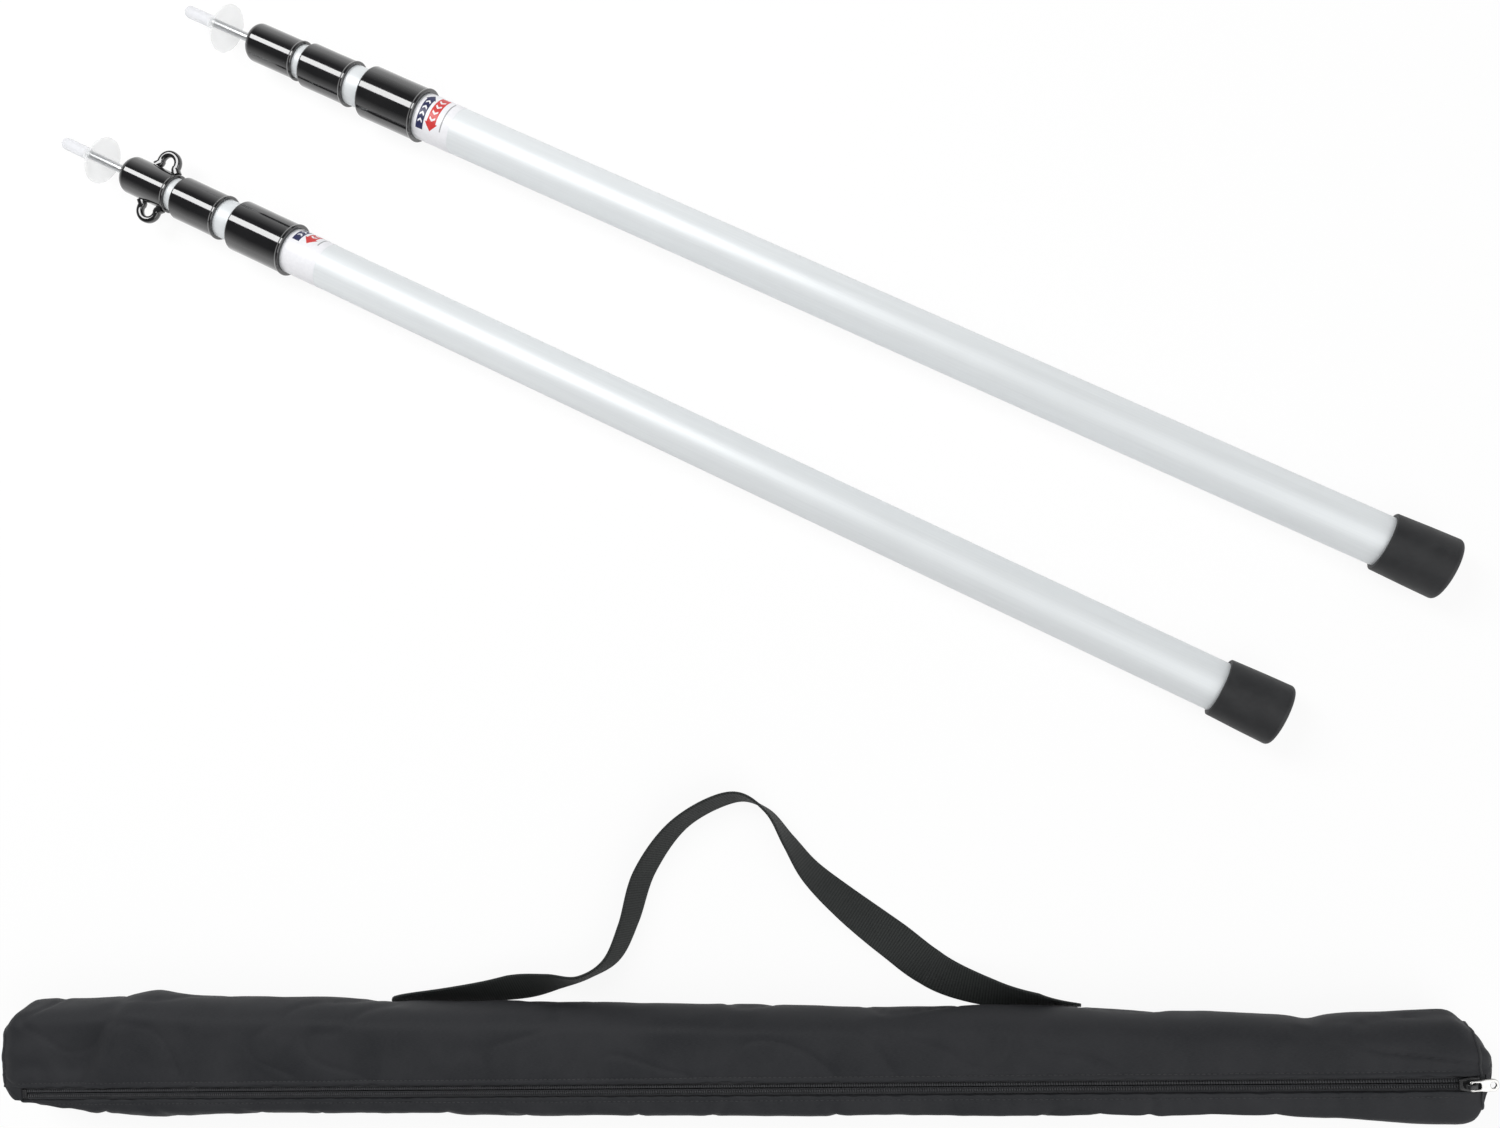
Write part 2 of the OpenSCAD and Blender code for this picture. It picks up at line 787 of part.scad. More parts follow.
// Corners of the webbing where it crosses point i: its lower edge rests on the ground
function strap_ring(i) =
    let (
        n = len(strap_line) - 1,
        p = strap_line[i],
        step = strap_line[min(i + 1, n)] - strap_line[max(i - 1, 0)],
        way = [step.x, step.y, 0] / norm([step.x, step.y]),
        side = [-way.y, way.x, 0],
        wide = side * cos(p.z) + [0, 0, sin(p.z)],
        face = cross(way, wide),
        lift = strap_w / 2 * abs(sin(p.z)) + strap_t / 2 * abs(cos(p.z)) + clear,
        middle = [p.x, p.y, lift]
    )
    [
        for (c = [[1, 1], [1, -1], [-1, -1], [-1, 1]])
            middle + wide * c[0] * strap_w / 2 + face * c[1] * strap_t / 2
    ];

module carry_strap() {
    n = len(strap_line);
    rings = [for (i = [0:n - 1]) each strap_ring(i)];
    last = 4 * (n - 1);
    ends = concat(quad(3, 2, 1, 0), quad(last, last + 1, last + 2, last + 3));
    color("#1d1d1f") at_bag() polyhedron(rings, concat(walls(n, 4), ends), convexity = 8);
}

front_pole() foot();  // front_foot
front_pole() outer_tube();  // front_outer_tube
front_pole() outer_collar();  // front_outer_collar
front_pole() outer_bush();  // front_outer_bush
front_pole() lock_label();  // front_lock_label
front_pole() mid_tube();  // front_mid_tube
front_pole() mid_collar();  // front_mid_collar
front_pole() mid_bush();  // front_mid_bush
front_pole() mid_plug();  // front_mid_plug
front_pole() mid_stud();  // front_mid_stud
front_pole() mid_expander();  // front_mid_expander
front_pole() mid_wedge();  // front_mid_wedge
front_pole() inner_tube();  // front_inner_tube
front_pole() inner_plug();  // front_inner_plug
front_pole() inner_stud();  // front_inner_stud
front_pole() inner_expander();  // front_inner_expander
front_pole() inner_wedge();  // front_inner_wedge
front_pole() guy_cap();  // front_top_cap
front_pole() spike();  // front_spike
front_pole() spike_cover();  // front_spike_cover
rear_pole() foot();  // rear_foot
rear_pole() outer_tube();  // rear_outer_tube
rear_pole() outer_collar();  // rear_outer_collar
rear_pole() outer_bush();  // rear_outer_bush
rear_pole() lock_label();  // rear_lock_label
rear_pole() mid_tube();  // rear_mid_tube
rear_pole() mid_collar();  // rear_mid_collar
rear_pole() mid_bush();  // rear_mid_bush
rear_pole() mid_plug();  // rear_mid_plug
rear_pole() mid_stud();  // rear_mid_stud
rear_pole() mid_expander();  // rear_mid_expander
rear_pole() mid_wedge();  // rear_mid_wedge
rear_pole() inner_tube();  // rear_inner_tube
rear_pole() inner_plug();  // rear_inner_plug
rear_pole() inner_stud();  // rear_inner_stud
rear_pole() inner_expander();  // rear_inner_expander
rear_pole() inner_wedge();  // rear_inner_wedge
rear_pole() plain_cap();  // rear_top_cap
rear_pole() spike();  // rear_spike
rear_pole() spike_cover();  // rear_spike_cover
bag_panel();
bag_left_end();
bag_right_end();
zip_rear_tape();
zip_front_tape();
zip_rear_teeth();
zip_front_teeth();
zip_stops();
zip_slider();
zip_pull();
carry_strap();
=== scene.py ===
import json
import math

import bmesh
import bpy
import numpy as np
from mathutils import Matrix, Vector, noise


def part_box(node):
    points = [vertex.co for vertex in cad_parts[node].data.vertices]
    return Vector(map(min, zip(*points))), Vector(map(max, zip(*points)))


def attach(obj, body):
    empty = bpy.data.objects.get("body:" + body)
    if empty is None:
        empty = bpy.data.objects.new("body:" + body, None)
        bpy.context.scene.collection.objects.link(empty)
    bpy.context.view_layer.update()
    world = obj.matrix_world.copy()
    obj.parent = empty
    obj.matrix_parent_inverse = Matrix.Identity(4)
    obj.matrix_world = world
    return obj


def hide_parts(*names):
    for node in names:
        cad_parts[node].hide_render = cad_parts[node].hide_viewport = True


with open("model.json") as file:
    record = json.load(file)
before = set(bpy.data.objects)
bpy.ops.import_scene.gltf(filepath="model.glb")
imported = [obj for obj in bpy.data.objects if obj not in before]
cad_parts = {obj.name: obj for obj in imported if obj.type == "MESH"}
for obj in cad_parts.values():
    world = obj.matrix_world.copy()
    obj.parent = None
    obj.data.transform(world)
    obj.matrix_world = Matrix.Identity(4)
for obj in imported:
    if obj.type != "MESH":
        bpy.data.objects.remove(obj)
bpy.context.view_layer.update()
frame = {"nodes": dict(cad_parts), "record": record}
mounts = {mount["name"]: mount for mount in frame["record"]["mounts"]}
mm = 0.001  # sizes are in millimetres where nothing else is said
print("frame loaded:", len(frame["nodes"]), "nodes")


# places taken from the frame

def placeOf(*columns):
    # a placement from its three axes and, where it is given, its origin
    place = Matrix.Identity(4)
    for column, way in enumerate(columns):
        place.col[column][:3] = way
    return place


def poleFrame(side):
    face = mounts[side + "_foot_face"]
    along = -Vector(face["axis"]).normalized()  # from the foot to the tip
    up = Vector((0, 0, 1))
    return placeOf(up, along.cross(up), along, Vector(face["pos_m"]))


bagPlan = {
    "frontReach": 34.5,  # from the bag's middle line to its front edge
    "backReach": 35,
    "backTaper": 0.0187,  # the bag gets slimmer to the right
    "height": 46,
    "sideBack": 14,  # how deep the rounded back is, and the rounded front
    "sideFront": 7.8,
    "endDepth": 24,
    "zipFront": 13,  # the zip lies before the middle line, a little askew
    "zipSkew": 0.6,
}
panelLow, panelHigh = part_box("bag_panel")
seamX = (panelHigh.x - panelLow.x) / 2 / mm  # from the bag's middle to its end seams
bagMiddle = Vector(((panelLow.x + panelHigh.x) / 2, panelLow.y + bagPlan["frontReach"] * mm, 0))
bagPlace = Matrix.Translation(bagMiddle)
zipStart = Vector((0, -bagPlan["zipFront"] * mm, 0))
zipTurn = Matrix.Rotation(math.radians(bagPlan["zipSkew"]), 4, "Z")
zipPlace = bagPlace @ Matrix.Translation(zipStart) @ zipTurn
polePlaces = {side: poleFrame(side) for side in ("front", "rear")}


def poleSpan(side, node):
    # where a node starts and ends along its pole, in mm from the foot's face
    toPole = polePlaces[side].inverted()
    heights = [(toPole @ corner.co).z / mm for corner in frame["nodes"][side + "_" + node].data.vertices]
    return min(heights), max(heights)


# camera

view = {
    "photoWidth": 1500,
    "focalPixels": 1389,
    "sensor": 36.0,
    "clipStart": 0.01,
    "height": 0.915,  # in metres, like the point under the camera
    "overBag": (0.220, 0.286),  # the point under the camera, from the bag's middle
    "leanLeft": 10.0,
    "leanBack": 1.5,
    "turn": -3.25,
}


def addCamera():
    lens = bpy.data.cameras.new("studioCamera")
    lens.sensor_fit = "HORIZONTAL"
    lens.sensor_width = view["sensor"]
    lens.lens = view["focalPixels"] / view["photoWidth"] * view["sensor"]
    lens.clip_start = view["clipStart"]
    left = math.tan(math.radians(view["leanLeft"]))
    back = math.tan(math.radians(view["leanBack"]))
    forward = Vector((-left, back, -1)).normalized()
    right = forward.cross(Vector((0, 1, 0))).normalized()
    aim = placeOf(right, right.cross(forward), -forward)
    turned = Matrix.Rotation(math.radians(view["turn"]), 4, "Z")
    spot = bagMiddle + Vector((*view["overBag"], view["height"]))
    camera = bpy.data.objects.new("studioCamera", lens)
    camera.matrix_world = Matrix.Translation(spot) @ turned @ aim
    bpy.context.scene.collection.objects.link(camera)
    bpy.context.scene.camera = camera


addCamera()
print("camera set")


# nodes for materials

def startFinish(name, color, roughness, metallic=0.0):
    finish = bpy.data.materials.new(name)
    finish.use_nodes = True
    shader = finish.node_tree.nodes["Principled BSDF"]
    shader.inputs["Base Color"].default_value = (*color, 1)
    shader.inputs["Roughness"].default_value = roughness
    shader.inputs["Metallic"].default_value = metallic
    finish.diffuse_color = (*color, 1)
    return finish, finish.node_tree, shader


def addNode(tree, kind, **values):
    node = tree.nodes.new(kind)
    for key, value in values.items():
        setattr(node, key, value)
    return node


def surfacePoint(tree, source="Object", scale=(1, 1, 1), turn=0):
    point = addNode(tree, "ShaderNodeTexCoord")
    mapping = addNode(tree, "ShaderNodeMapping")
    mapping.inputs["Scale"].default_value = scale
    mapping.inputs["Rotation"].default_value = (0, 0, math.radians(turn))
    tree.links.new(point.outputs[source], mapping.inputs["Vector"])
    return mapping.outputs["Vector"]


def cloudy(tree, point, scale, detail=3.0, roughness=0.55):
    cloud = addNode(tree, "ShaderNodeTexNoise")
    cloud.inputs["Scale"].default_value = scale
    cloud.inputs["Detail"].default_value = detail
    cloud.inputs["Roughness"].default_value = roughness
    tree.links.new(point, cloud.inputs["Vector"])
    return cloud.outputs["Fac"]


def threadWave(tree, point, pitch, way):
    phaseRate = 20  # how far a wave texture of scale 1 turns its phase over one unit
    wave = addNode(tree, "ShaderNodeTexWave", bands_direction=way)
    wave.inputs["Scale"].default_value = 2 * math.pi / (phaseRate * pitch)  # one band for each pitch
    tree.links.new(point, wave.inputs["Vector"])
    return wave.outputs["Fac"]


def between(tree, factor, low, high, start=0.3, stop=0.7):
    ranged = addNode(tree, "ShaderNodeMapRange")
    for key, value in (("From Min", start), ("From Max", stop), ("To Min", low), ("To Max", high)):
        ranged.inputs[key].default_value = value
    tree.links.new(factor, ranged.inputs["Value"])
    return ranged.outputs["Result"]


def combine(tree, operation, first, second):
    node = addNode(tree, "ShaderNodeMath", operation=operation)
    for socket, value in zip(node.inputs, (first, second)):
        if isinstance(value, (int, float)):
            socket.default_value = value
        else:
            tree.links.new(value, socket)
    return node.outputs["Value"]


def mixColor(tree, factor, first, second):
    mix = addNode(tree, "ShaderNodeMix", data_type="RGBA")
    tree.links.new(factor, mix.inputs[0])
    for socket, value in ((mix.inputs[6], first), (mix.inputs[7], second)):
        if isinstance(value, tuple):
            socket.default_value = (*value, 1)
        else:
            tree.links.new(value, socket)
    return mix.outputs[2]


def raiseBump(tree, shader, height, depth, strength):
    bump = addNode(tree, "ShaderNodeBump")
    bump.inputs["Strength"].default_value = strength
    bump.inputs["Distance"].default_value = depth
    tree.links.new(height, bump.inputs["Height"])
    tree.links.new(bump.outputs["Normal"], shader.inputs["Normal"])


def toneBy(tree, shader, factor, dark, pale, *limits):
    tone = mixColor(tree, between(tree, factor, 0, 1, *limits), dark, pale)
    tree.links.new(tone, shader.inputs["Base Color"])


def roughenBy(tree, shader, factor, low, high):
    tree.links.new(between(tree, factor, low, high), shader.inputs["Roughness"])


# finishes

def anodisedFinish():
    finish, tree, shader = startFinish("satinAnodised", (0.795, 0.825, 0.84), 0.5, 0.22)
    streaks = cloudy(tree, surfacePoint(tree, "UV", (900, 14, 1)), 1.0, 4.0)  # lines along the tube
    stains = cloudy(tree, surfacePoint(tree), 35.0)
    toneBy(tree, shader, streaks, (0.78, 0.81, 0.825), (0.815, 0.845, 0.86))
    roughenBy(tree, shader, stains, 0.46, 0.53)
    raiseBump(tree, shader, streaks, 0.004 * mm, 0.5)
    return finish


def rubberFinish():
    finish, tree, shader = startFinish("blackRubber", (0.016, 0.017, 0.019), 0.6)
    point = surfacePoint(tree)
    grain = cloudy(tree, point, 2600.0, 4.0)
    scuff = cloudy(tree, point, 90.0, 6.0, 0.65)
    toneBy(tree, shader, scuff, (0.0130, 0.0138, 0.0154), (0.0235, 0.0243, 0.0260), 0.45, 0.75)
    roughenBy(tree, shader, scuff, 0.52, 0.68)
    raiseBump(tree, shader, grain, 0.03 * mm, 0.5)
    return finish


def vinylFinish():
    finish, tree, shader = startFinish("glossVinyl", (0.006, 0.006, 0.007), 0.1)
    shader.inputs["Specular IOR Level"].default_value = 0.9
    shader.inputs["Coat Weight"].default_value = 0.5
    shader.inputs["Coat Roughness"].default_value = 0.05
    point = surfacePoint(tree)
    ripple = cloudy(tree, point, 120.0, 2.0)
    smear = cloudy(tree, point, 45.0, 5.0)
    toneBy(tree, shader, smear, (0.0045, 0.0045, 0.0055), (0.008, 0.008, 0.009))
    roughenBy(tree, shader, smear, 0.06, 0.11)
    raiseBump(tree, shader, ripple, 0.012 * mm, 0.6)
    return finish


def coverFinish(name, dark, pale, cover):
    finish, tree, shader = startFinish(name, pale, 0.4)
    shader.inputs["Alpha"].default_value = cover
    shader.inputs["Specular IOR Level"].default_value = 0.3
    frost = cloudy(tree, surfacePoint(tree), 260.0, 5.0)
    toneBy(tree, shader, frost, dark, pale)
    roughenBy(tree, shader, frost, 0.34, 0.46)
    raiseBump(tree, shader, frost, 0.02 * mm, 0.3)
    return finish


def printFinish(name, dark, pale, roughness):
    finish, tree, shader = startFinish(name, pale, roughness)
    wear = cloudy(tree, surfacePoint(tree), 420.0, 5.0, 0.6)
    toneBy(tree, shader, wear, dark, pale)
    roughenBy(tree, shader, wear, roughness - 0.06, roughness + 0.08)
    return finish


def metalFinish(name, dark, pale, low, high, lines):
    finish, tree, shader = startFinish(name, pale, low, 1.0)
    turned = cloudy(tree, surfacePoint(tree, "UV", lines), 1.0, 3.0)
    spots = cloudy(tree, surfacePoint(tree), 500.0, 4.0)
    toneBy(tree, shader, spots, dark, pale)
    roughenBy(tree, shader, spots, low, high)
    raiseBump(tree, shader, turned, 0.006 * mm, 0.5)
    return finish


def nylonFinish(name, dark, pale, roughness):
    finish, tree, shader = startFinish(name, pale, roughness)
    flow = cloudy(tree, surfacePoint(tree, "Object", (1, 1, 3)), 160.0, 4.0)
    toneBy(tree, shader, flow, dark, pale)
    roughenBy(tree, shader, flow, roughness - 0.08, roughness + 0.08)
    raiseBump(tree, shader, flow, 0.02 * mm, 0.3)
    return finish


def clothFinish():
    threadPitch = 0.55 * mm
    finish, tree, shader = startFinish("wovenCloth", (0.027, 0.027, 0.029), 0.66)
    shader.inputs["Sheen Weight"].default_value = 0.02
    shader.inputs["Sheen Roughness"].default_value = 0.45
    shader.inputs["Specular IOR Level"].default_value = 0.2
    woven = surfacePoint(tree, "UV")
    warp = threadWave(tree, woven, threadPitch, "X")
    weft = threadWave(tree, woven, threadPitch, "Y")
    weave = combine(tree, "MAXIMUM", warp, weft)
    patches = cloudy(tree, surfacePoint(tree), 26.0, 5.0, 0.6)
    fibres = cloudy(tree, surfacePoint(tree, "UV", (400, 2600, 1)), 1.0, 2.0)
    base = mixColor(tree, between(tree, patches, 0, 1), (0.0150, 0.0162, 0.0188), (0.0262, 0.0270, 0.0300))
    tone = mixColor(tree, between(tree, fibres, 0, 0.35), base, (0.036, 0.0368, 0.0405))
    tree.links.new(tone, shader.inputs["Base Color"])
    roughenBy(tree, shader, patches, 0.58, 0.72)
    raiseBump(tree, shader, weave, 0.05 * mm, 0.35)
    return finish


def tapeFinish():
    threadPitch = 0.6 * mm
    finish, tree, shader = startFinish("twillTape", (0.022, 0.022, 0.024), 0.75)
    twill = threadWave(tree, surfacePoint(tree, "UV", turn=38), threadPitch, "X")
    tone = mixColor(tree, twill, (0.026, 0.027, 0.030), (0.044, 0.045, 0.049))
    tree.links.new(tone, shader.inputs["Base Color"])
    raiseBump(tree, shader, twill, 0.06 * mm, 0.5)
    return finish


strap = {
    "width": 25,
    "thick": 1.5,
    "lift": 0.3,
    "ribPitch": 1.8,
    "ribDepth": 0.3,
    "ribSteps": 5,
    "strandPitch": 1.1,
    "selvedge": 1.0,  # the edges carry no ribs
    "edgeThin": 0.82,
    "insets": (0.4, 1.2, 3.0),  # points of the section, from each edge
    "inner": 0.3,
    "trims": ((90, 0.05, 0.5), (26, 0.1, 0.8)),  # how each end is cut on a slant: run, share left, power
    "lineRibs": 4,  # ribs between two points of the middle line
    "routeSteps": 24,
    # along the bag, behind its middle line, roll in degrees
    "route": [
        (-208, 39.8, 50), (-172, 39.4, 47), (-138, 40.5, 42), (-110, 43, 38), (-88, 46.5, 54),
        (-66, 49.5, 75), (-46, 61, 74), (-33, 85, 71), (-20, 119, 66), (6, 150, 68),
        (42, 166, 68), (64, 157, 82), (78, 136, 98), (91, 116, 114), (112, 95, 134),
        (141, 70, 158), (168, 48, 184), (203, 35.6, 214), (232, 31.4, 236), (258, 30.3, 246),
    ],
}


def webbingFinish():
    finish, tree, shader = startFinish("ribbedWebbing", (0.021, 0.024, 0.024), 0.7)
    shader.inputs["Specular IOR Level"].default_value = 0.25
    point = surfacePoint(tree, "UV")
    strands = threadWave(tree, point, strap["strandPitch"] * mm, "Y")  # warp strands across the width
    # painted shade: the colour darkens in the valleys between the ribs, at the ribs' own pitch
    ribValleyShade = threadWave(tree, point, strap["ribPitch"] * mm, "X")
    fuzz = cloudy(tree, surfacePoint(tree), 1400.0, 4.0)
    soil = cloudy(tree, surfacePoint(tree), 30.0, 4.0)
    base = mixColor(tree, between(tree, soil, 0, 1), (0.018, 0.020, 0.020), (0.026, 0.029, 0.028))
    # the webbing's tone with the painted shade of the rib valleys laid on it
    ribShadedTone = mixColor(tree, between(tree, ribValleyShade, 0, 0.9, 0.35, 0.9), base, (0.005, 0.006, 0.006))
    tone = mixColor(tree, between(tree, fuzz, 0, 0.4), ribShadedTone, (0.046, 0.050, 0.048))
    tree.links.new(tone, shader.inputs["Base Color"])
    roughenBy(tree, shader, fuzz, 0.62, 0.80)
    raiseBump(tree, shader, strands, 0.10 * mm, 0.5)
    return finish


finishes = {
    "tube": anodisedFinish(),
    "rubber": rubberFinish(),
    "vinyl": vinylFinish(),
    "cover": coverFinish("frostedCover", (0.93, 0.95, 0.96), (0.97, 0.98, 0.98), 0.24),
    "tail": coverFinish("frostedTail", (0.74, 0.75, 0.79), (0.80, 0.81, 0.845), 0.45),
    "label": printFinish("labelFilm", (0.82, 0.82, 0.85), (0.88, 0.88, 0.905), 0.34),
    "navy": printFinish("navyInk", (0.014, 0.017, 0.070), (0.022, 0.026, 0.095), 0.36),
    "grey": printFinish("greyInk", (0.30, 0.30, 0.31), (0.40, 0.40, 0.41), 0.36),
    "red": printFinish("redInk", (0.56, 0.030, 0.032), (0.66, 0.055, 0.050), 0.36),
    "steel": metalFinish("zincSteel", (0.55, 0.56, 0.57), (0.66, 0.67, 0.68), 0.34, 0.46, (3, 1600, 1)),
    "nickel": metalFinish("nickelPlate", (0.50, 0.495, 0.48), (0.60, 0.595, 0.58), 0.16, 0.28, (40, 40, 1)),
    "cloth": clothFinish(),
    "tape": tapeFinish(),
    "coil": nylonFinish("zipCoil", (0.030, 0.031, 0.034), (0.044, 0.045, 0.049), 0.5),
    "enamel": nylonFinish("blackEnamel", (0.010, 0.010, 0.011), (0.020, 0.020, 0.021), 0.32),
    "thread": nylonFinish("sewingThread", (0.020, 0.020, 0.022), (0.040, 0.040, 0.043), 0.6),
    "webbing": webbingFinish(),
    "whiteNylon": nylonFinish("whiteNylon", (0.74, 0.74, 0.72), (0.82, 0.82, 0.80), 0.42),
    "naturalNylon": nylonFinish("naturalNylon", (0.62, 0.60, 0.52), (0.72, 0.70, 0.62), 0.45),
    "darkNylon": nylonFinish("darkNylon", (0.018, 0.018, 0.020), (0.030, 0.030, 0.032), 0.48),
}
print("finishes made:", len(finishes))


# mesh makers

mergeReach = 1e-6  # in metres


def putAt(place, points):
    # points in mm, moved to where the place puts them
    return [place @ (Vector(point) * mm) for point in points]


def circle(count):
    return [2 * math.pi * step / count for step in range(count)]


def cleanMesh(mesh):
    build = bmesh.new()
    build.from_mesh(mesh)
    bmesh.ops.remove_doubles(build, verts=build.verts, dist=mergeReach)
    bmesh.ops.recalc_face_normals(build, faces=build.faces)
    build.to_mesh(mesh)
    build.free()


def finalMesh(carrier):
    # the mesh that a carrier comes to; the carrier itself is taken away
    bpy.context.scene.collection.objects.link(carrier)
    seen = bpy.context.evaluated_depsgraph_get()
    mesh = bpy.data.meshes.new_from_object(carrier.evaluated_get(seen), depsgraph=seen)
    bpy.data.objects.remove(carrier)
    return mesh


def finishMesh(name, verts, faces, finish, uvs=None, sharp=40):
    mesh = bpy.data.meshes.new(name)
    mesh.from_pydata([tuple(vert) for vert in verts], [], faces)
    if uvs is not None:
        layer = mesh.uv_layers.new(name="surface")
        layer.data.foreach_set("uv", np.asarray(uvs, np.float32).ravel())
    cleanMesh(mesh)
    return meshPiece(name, mesh, finish, sharp)


def meshPiece(name, mesh, finish=None, sharp=40):
    mesh.shade_smooth()
    mesh.set_sharp_from_angle(angle=math.radians(sharp))
    if finish:
        mesh.materials.append(finish)
    piece = bpy.data.objects.new(name, mesh)
    bpy.context.scene.collection.objects.link(piece)
    return piece


def joinPieces(name, parts):
    target = parts[0]
    bpy.ops.object.select_all(action="DESELECT")
    for part in parts:
        part.select_set(True)
    bpy.context.view_layer.objects.active = target
    if len(parts) > 1:
        bpy.ops.object.join()
    target.name = name
    target.data.name = name
    return target


def loftRings(name, rings, finish, closedRows=False, capped=False, uvs=None, sharp=40):
    # rings of equal count, each closed on itself
    count = len(rings[0])
    verts = [point for ring in rings for point in ring]
    rows = len(rings) if closedRows else len(rings) - 1
    faces, corners = [], []
    for row in range(rows):
        for col in range(count):
            quad = [(row, col), (row, col + 1), (row + 1, col + 1), (row + 1, col)]
            faces.append([r % len(rings) * count + c % count for r, c in quad])
            if uvs:
                corners += [uvs(r, c) for r, c in quad]
    if capped:
        for row in (0, len(rings) - 1):
            faces.append([row * count + col for col in range(count)])
            if uvs:
                corners += [uvs(row, col) for col in range(count)]
    return finishMesh(name, verts, faces, finish, corners if uvs else None, sharp)


def rounded(corners, closed=False, steps=6):
    # each corner has two coordinates and, where it is round, its rounding
    outline = []
    for index, corner in enumerate(corners):
        here = Vector(corner[:2])
        bend = corner[2] if len(corner) > 2 else 0
        if not bend or (not closed and index in (0, len(corners) - 1)):
            outline.append(here)
            continue
        before = (Vector(corners[index - 1][:2]) - here).normalized()
        after = (Vector(corners[(index + 1) % len(corners)][:2]) - here).normalized()
        half = before.angle(after) / 2
        reach = bend / math.tan(half)
        centre = here + (before + after).normalized() * (bend / math.sin(half))
        first = here + before * reach - centre
        last = here + after * reach - centre
        for step in range(steps + 1):
            way = first.lerp(last, step / steps).normalized()
            outline.append(centre + way * bend)
    return outline


def smoothRoute(points, steps):
    # a smooth line through the points, with so many steps between two of them
    spots = [np.array(point, float) for point in points]
    line = []
    for index in range(len(spots) - 1):
        a = spots[max(index - 1, 0)]
        b, c = spots[index], spots[index + 1]
        d = spots[min(index + 2, len(spots) - 1)]
        for step in range(steps):
            t = step / steps
            line.append(0.5 * (2 * b + (c - a) * t + (2 * a - 5 * b + 4 * c - d) * t ** 2
                               + (3 * b - a - 3 * c + d) * t ** 3))
    line.append(spots[-1])
    return np.array(line)


def lathe(name, outline, place, finish, closed=False, segments=96, sharp=40):
    points = [Vector((radius, height)) * mm for radius, height in outline]
    runs = [0.0]
    for first, second in zip(points, points[1:] + points[:1]):
        runs.append(runs[-1] + (second - first).length)
    widest = max(point.x for point in points)
    turn = 2 * math.pi / segments
    rings = []
    for point in points:
        rings.append([place @ Vector((point.x * math.cos(angle), point.x * math.sin(angle), point.y))
                      for angle in circle(segments)])
    return loftRings(name, rings, finish, closedRows=closed, sharp=sharp,
                     uvs=lambda row, col: (col * turn * widest, runs[row]))


def dress(piece, body, slot, *nodes):
    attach(piece, body)
    if nodes:
        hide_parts(*nodes)


# beads along a path: stitches and zip teeth

beadShape = {"Segments": 8, "Rings": 5, "Radius": 0.5}  # a round bead of size 1, scaled where it is used
beadSeed = 7


def beadTree():
    tree = bpy.data.node_groups.new("beadsOnPath", "GeometryNodeTree")
    tree.interface.new_socket(name="Path", in_out="INPUT", socket_type="NodeSocketGeometry")
    for label in ("Spacing", "Length", "Width", "Height", "Unevenness"):
        tree.interface.new_socket(name=label, in_out="INPUT", socket_type="NodeSocketFloat")
    tree.interface.new_socket(name="Finish", in_out="INPUT", socket_type="NodeSocketMaterial")
    tree.interface.new_socket(name="Beads", in_out="OUTPUT", socket_type="NodeSocketGeometry")
    start = addNode(tree, "NodeGroupInput")
    stop = addNode(tree, "NodeGroupOutput")
    curve = addNode(tree, "GeometryNodeMeshToCurve")
    spaced = addNode(tree, "GeometryNodeResampleCurve", mode="LENGTH")
    bead = addNode(tree, "GeometryNodeMeshUVSphere")
    for label, value in beadShape.items():
        bead.inputs[label].default_value = value
    size = addNode(tree, "ShaderNodeCombineXYZ")
    sized = addNode(tree, "GeometryNodeTransform")
    tangent = addNode(tree, "GeometryNodeInputTangent")
    aimed = addNode(tree, "FunctionNodeAlignRotationToVector", axis="X")
    least = addNode(tree, "ShaderNodeMath", operation="SUBTRACT")
    least.inputs[0].default_value = 1.0
    vary = addNode(tree, "FunctionNodeRandomValue", data_type="FLOAT")
    vary.inputs["Seed"].default_value = beadSeed
    placed = addNode(tree, "GeometryNodeInstanceOnPoints")
    real = addNode(tree, "GeometryNodeRealizeInstances")
    coat = addNode(tree, "GeometryNodeSetMaterial")
    varyFloats = [socket for socket in vary.inputs if socket.type == "VALUE"]
    varyValue = [socket for socket in vary.outputs if socket.type == "VALUE"][0]
    varyFloats[1].default_value = 1.0
    for source, target in (
        (start.outputs["Path"], curve.inputs["Mesh"]),
        (curve.outputs["Curve"], spaced.inputs["Curve"]),
        (start.outputs["Spacing"], spaced.inputs["Length"]),
        (start.outputs["Length"], size.inputs["X"]),
        (start.outputs["Width"], size.inputs["Y"]),
        (start.outputs["Height"], size.inputs["Z"]),
        (bead.outputs["Mesh"], sized.inputs["Geometry"]),
        (size.outputs["Vector"], sized.inputs["Scale"]),
        (tangent.outputs["Tangent"], aimed.inputs["Vector"]),
        (start.outputs["Unevenness"], least.inputs[1]),
        (least.outputs["Value"], varyFloats[0]),
        (spaced.outputs["Curve"], placed.inputs["Points"]),
        (sized.outputs["Geometry"], placed.inputs["Instance"]),
        (aimed.outputs["Rotation"], placed.inputs["Rotation"]),
        (varyValue, placed.inputs["Scale"]),
        (placed.outputs["Instances"], real.inputs["Geometry"]),
        (real.outputs["Geometry"], coat.inputs["Geometry"]),
        (start.outputs["Finish"], coat.inputs["Material"]),
        (coat.outputs["Geometry"], stop.inputs["Beads"]),
    ):
        tree.links.new(source, target)
    return tree


beads = beadTree()


def beadsAlong(name, runs, sizes, finish):
    verts, edges = [], []
    for run in runs:
        edges += [(len(verts) + step, len(verts) + step + 1) for step in range(len(run) - 1)]
        verts += [tuple(point) for point in run]
    mesh = bpy.data.meshes.new(name + "Path")
    mesh.from_pydata(verts, edges, [])
    carrier = bpy.data.objects.new(name + "Path", mesh)
    maker = carrier.modifiers.new("beads", "NODES")
    maker.node_group = beads
    settings = {**sizes, "Finish": finish}
    for item in beads.interface.items_tree:
        if item.name in settings:
            maker[item.identifier] = settings[item.name]
    made = finalMesh(carrier)
    made.name = name
    return meshPiece(name, made, sharp=80)


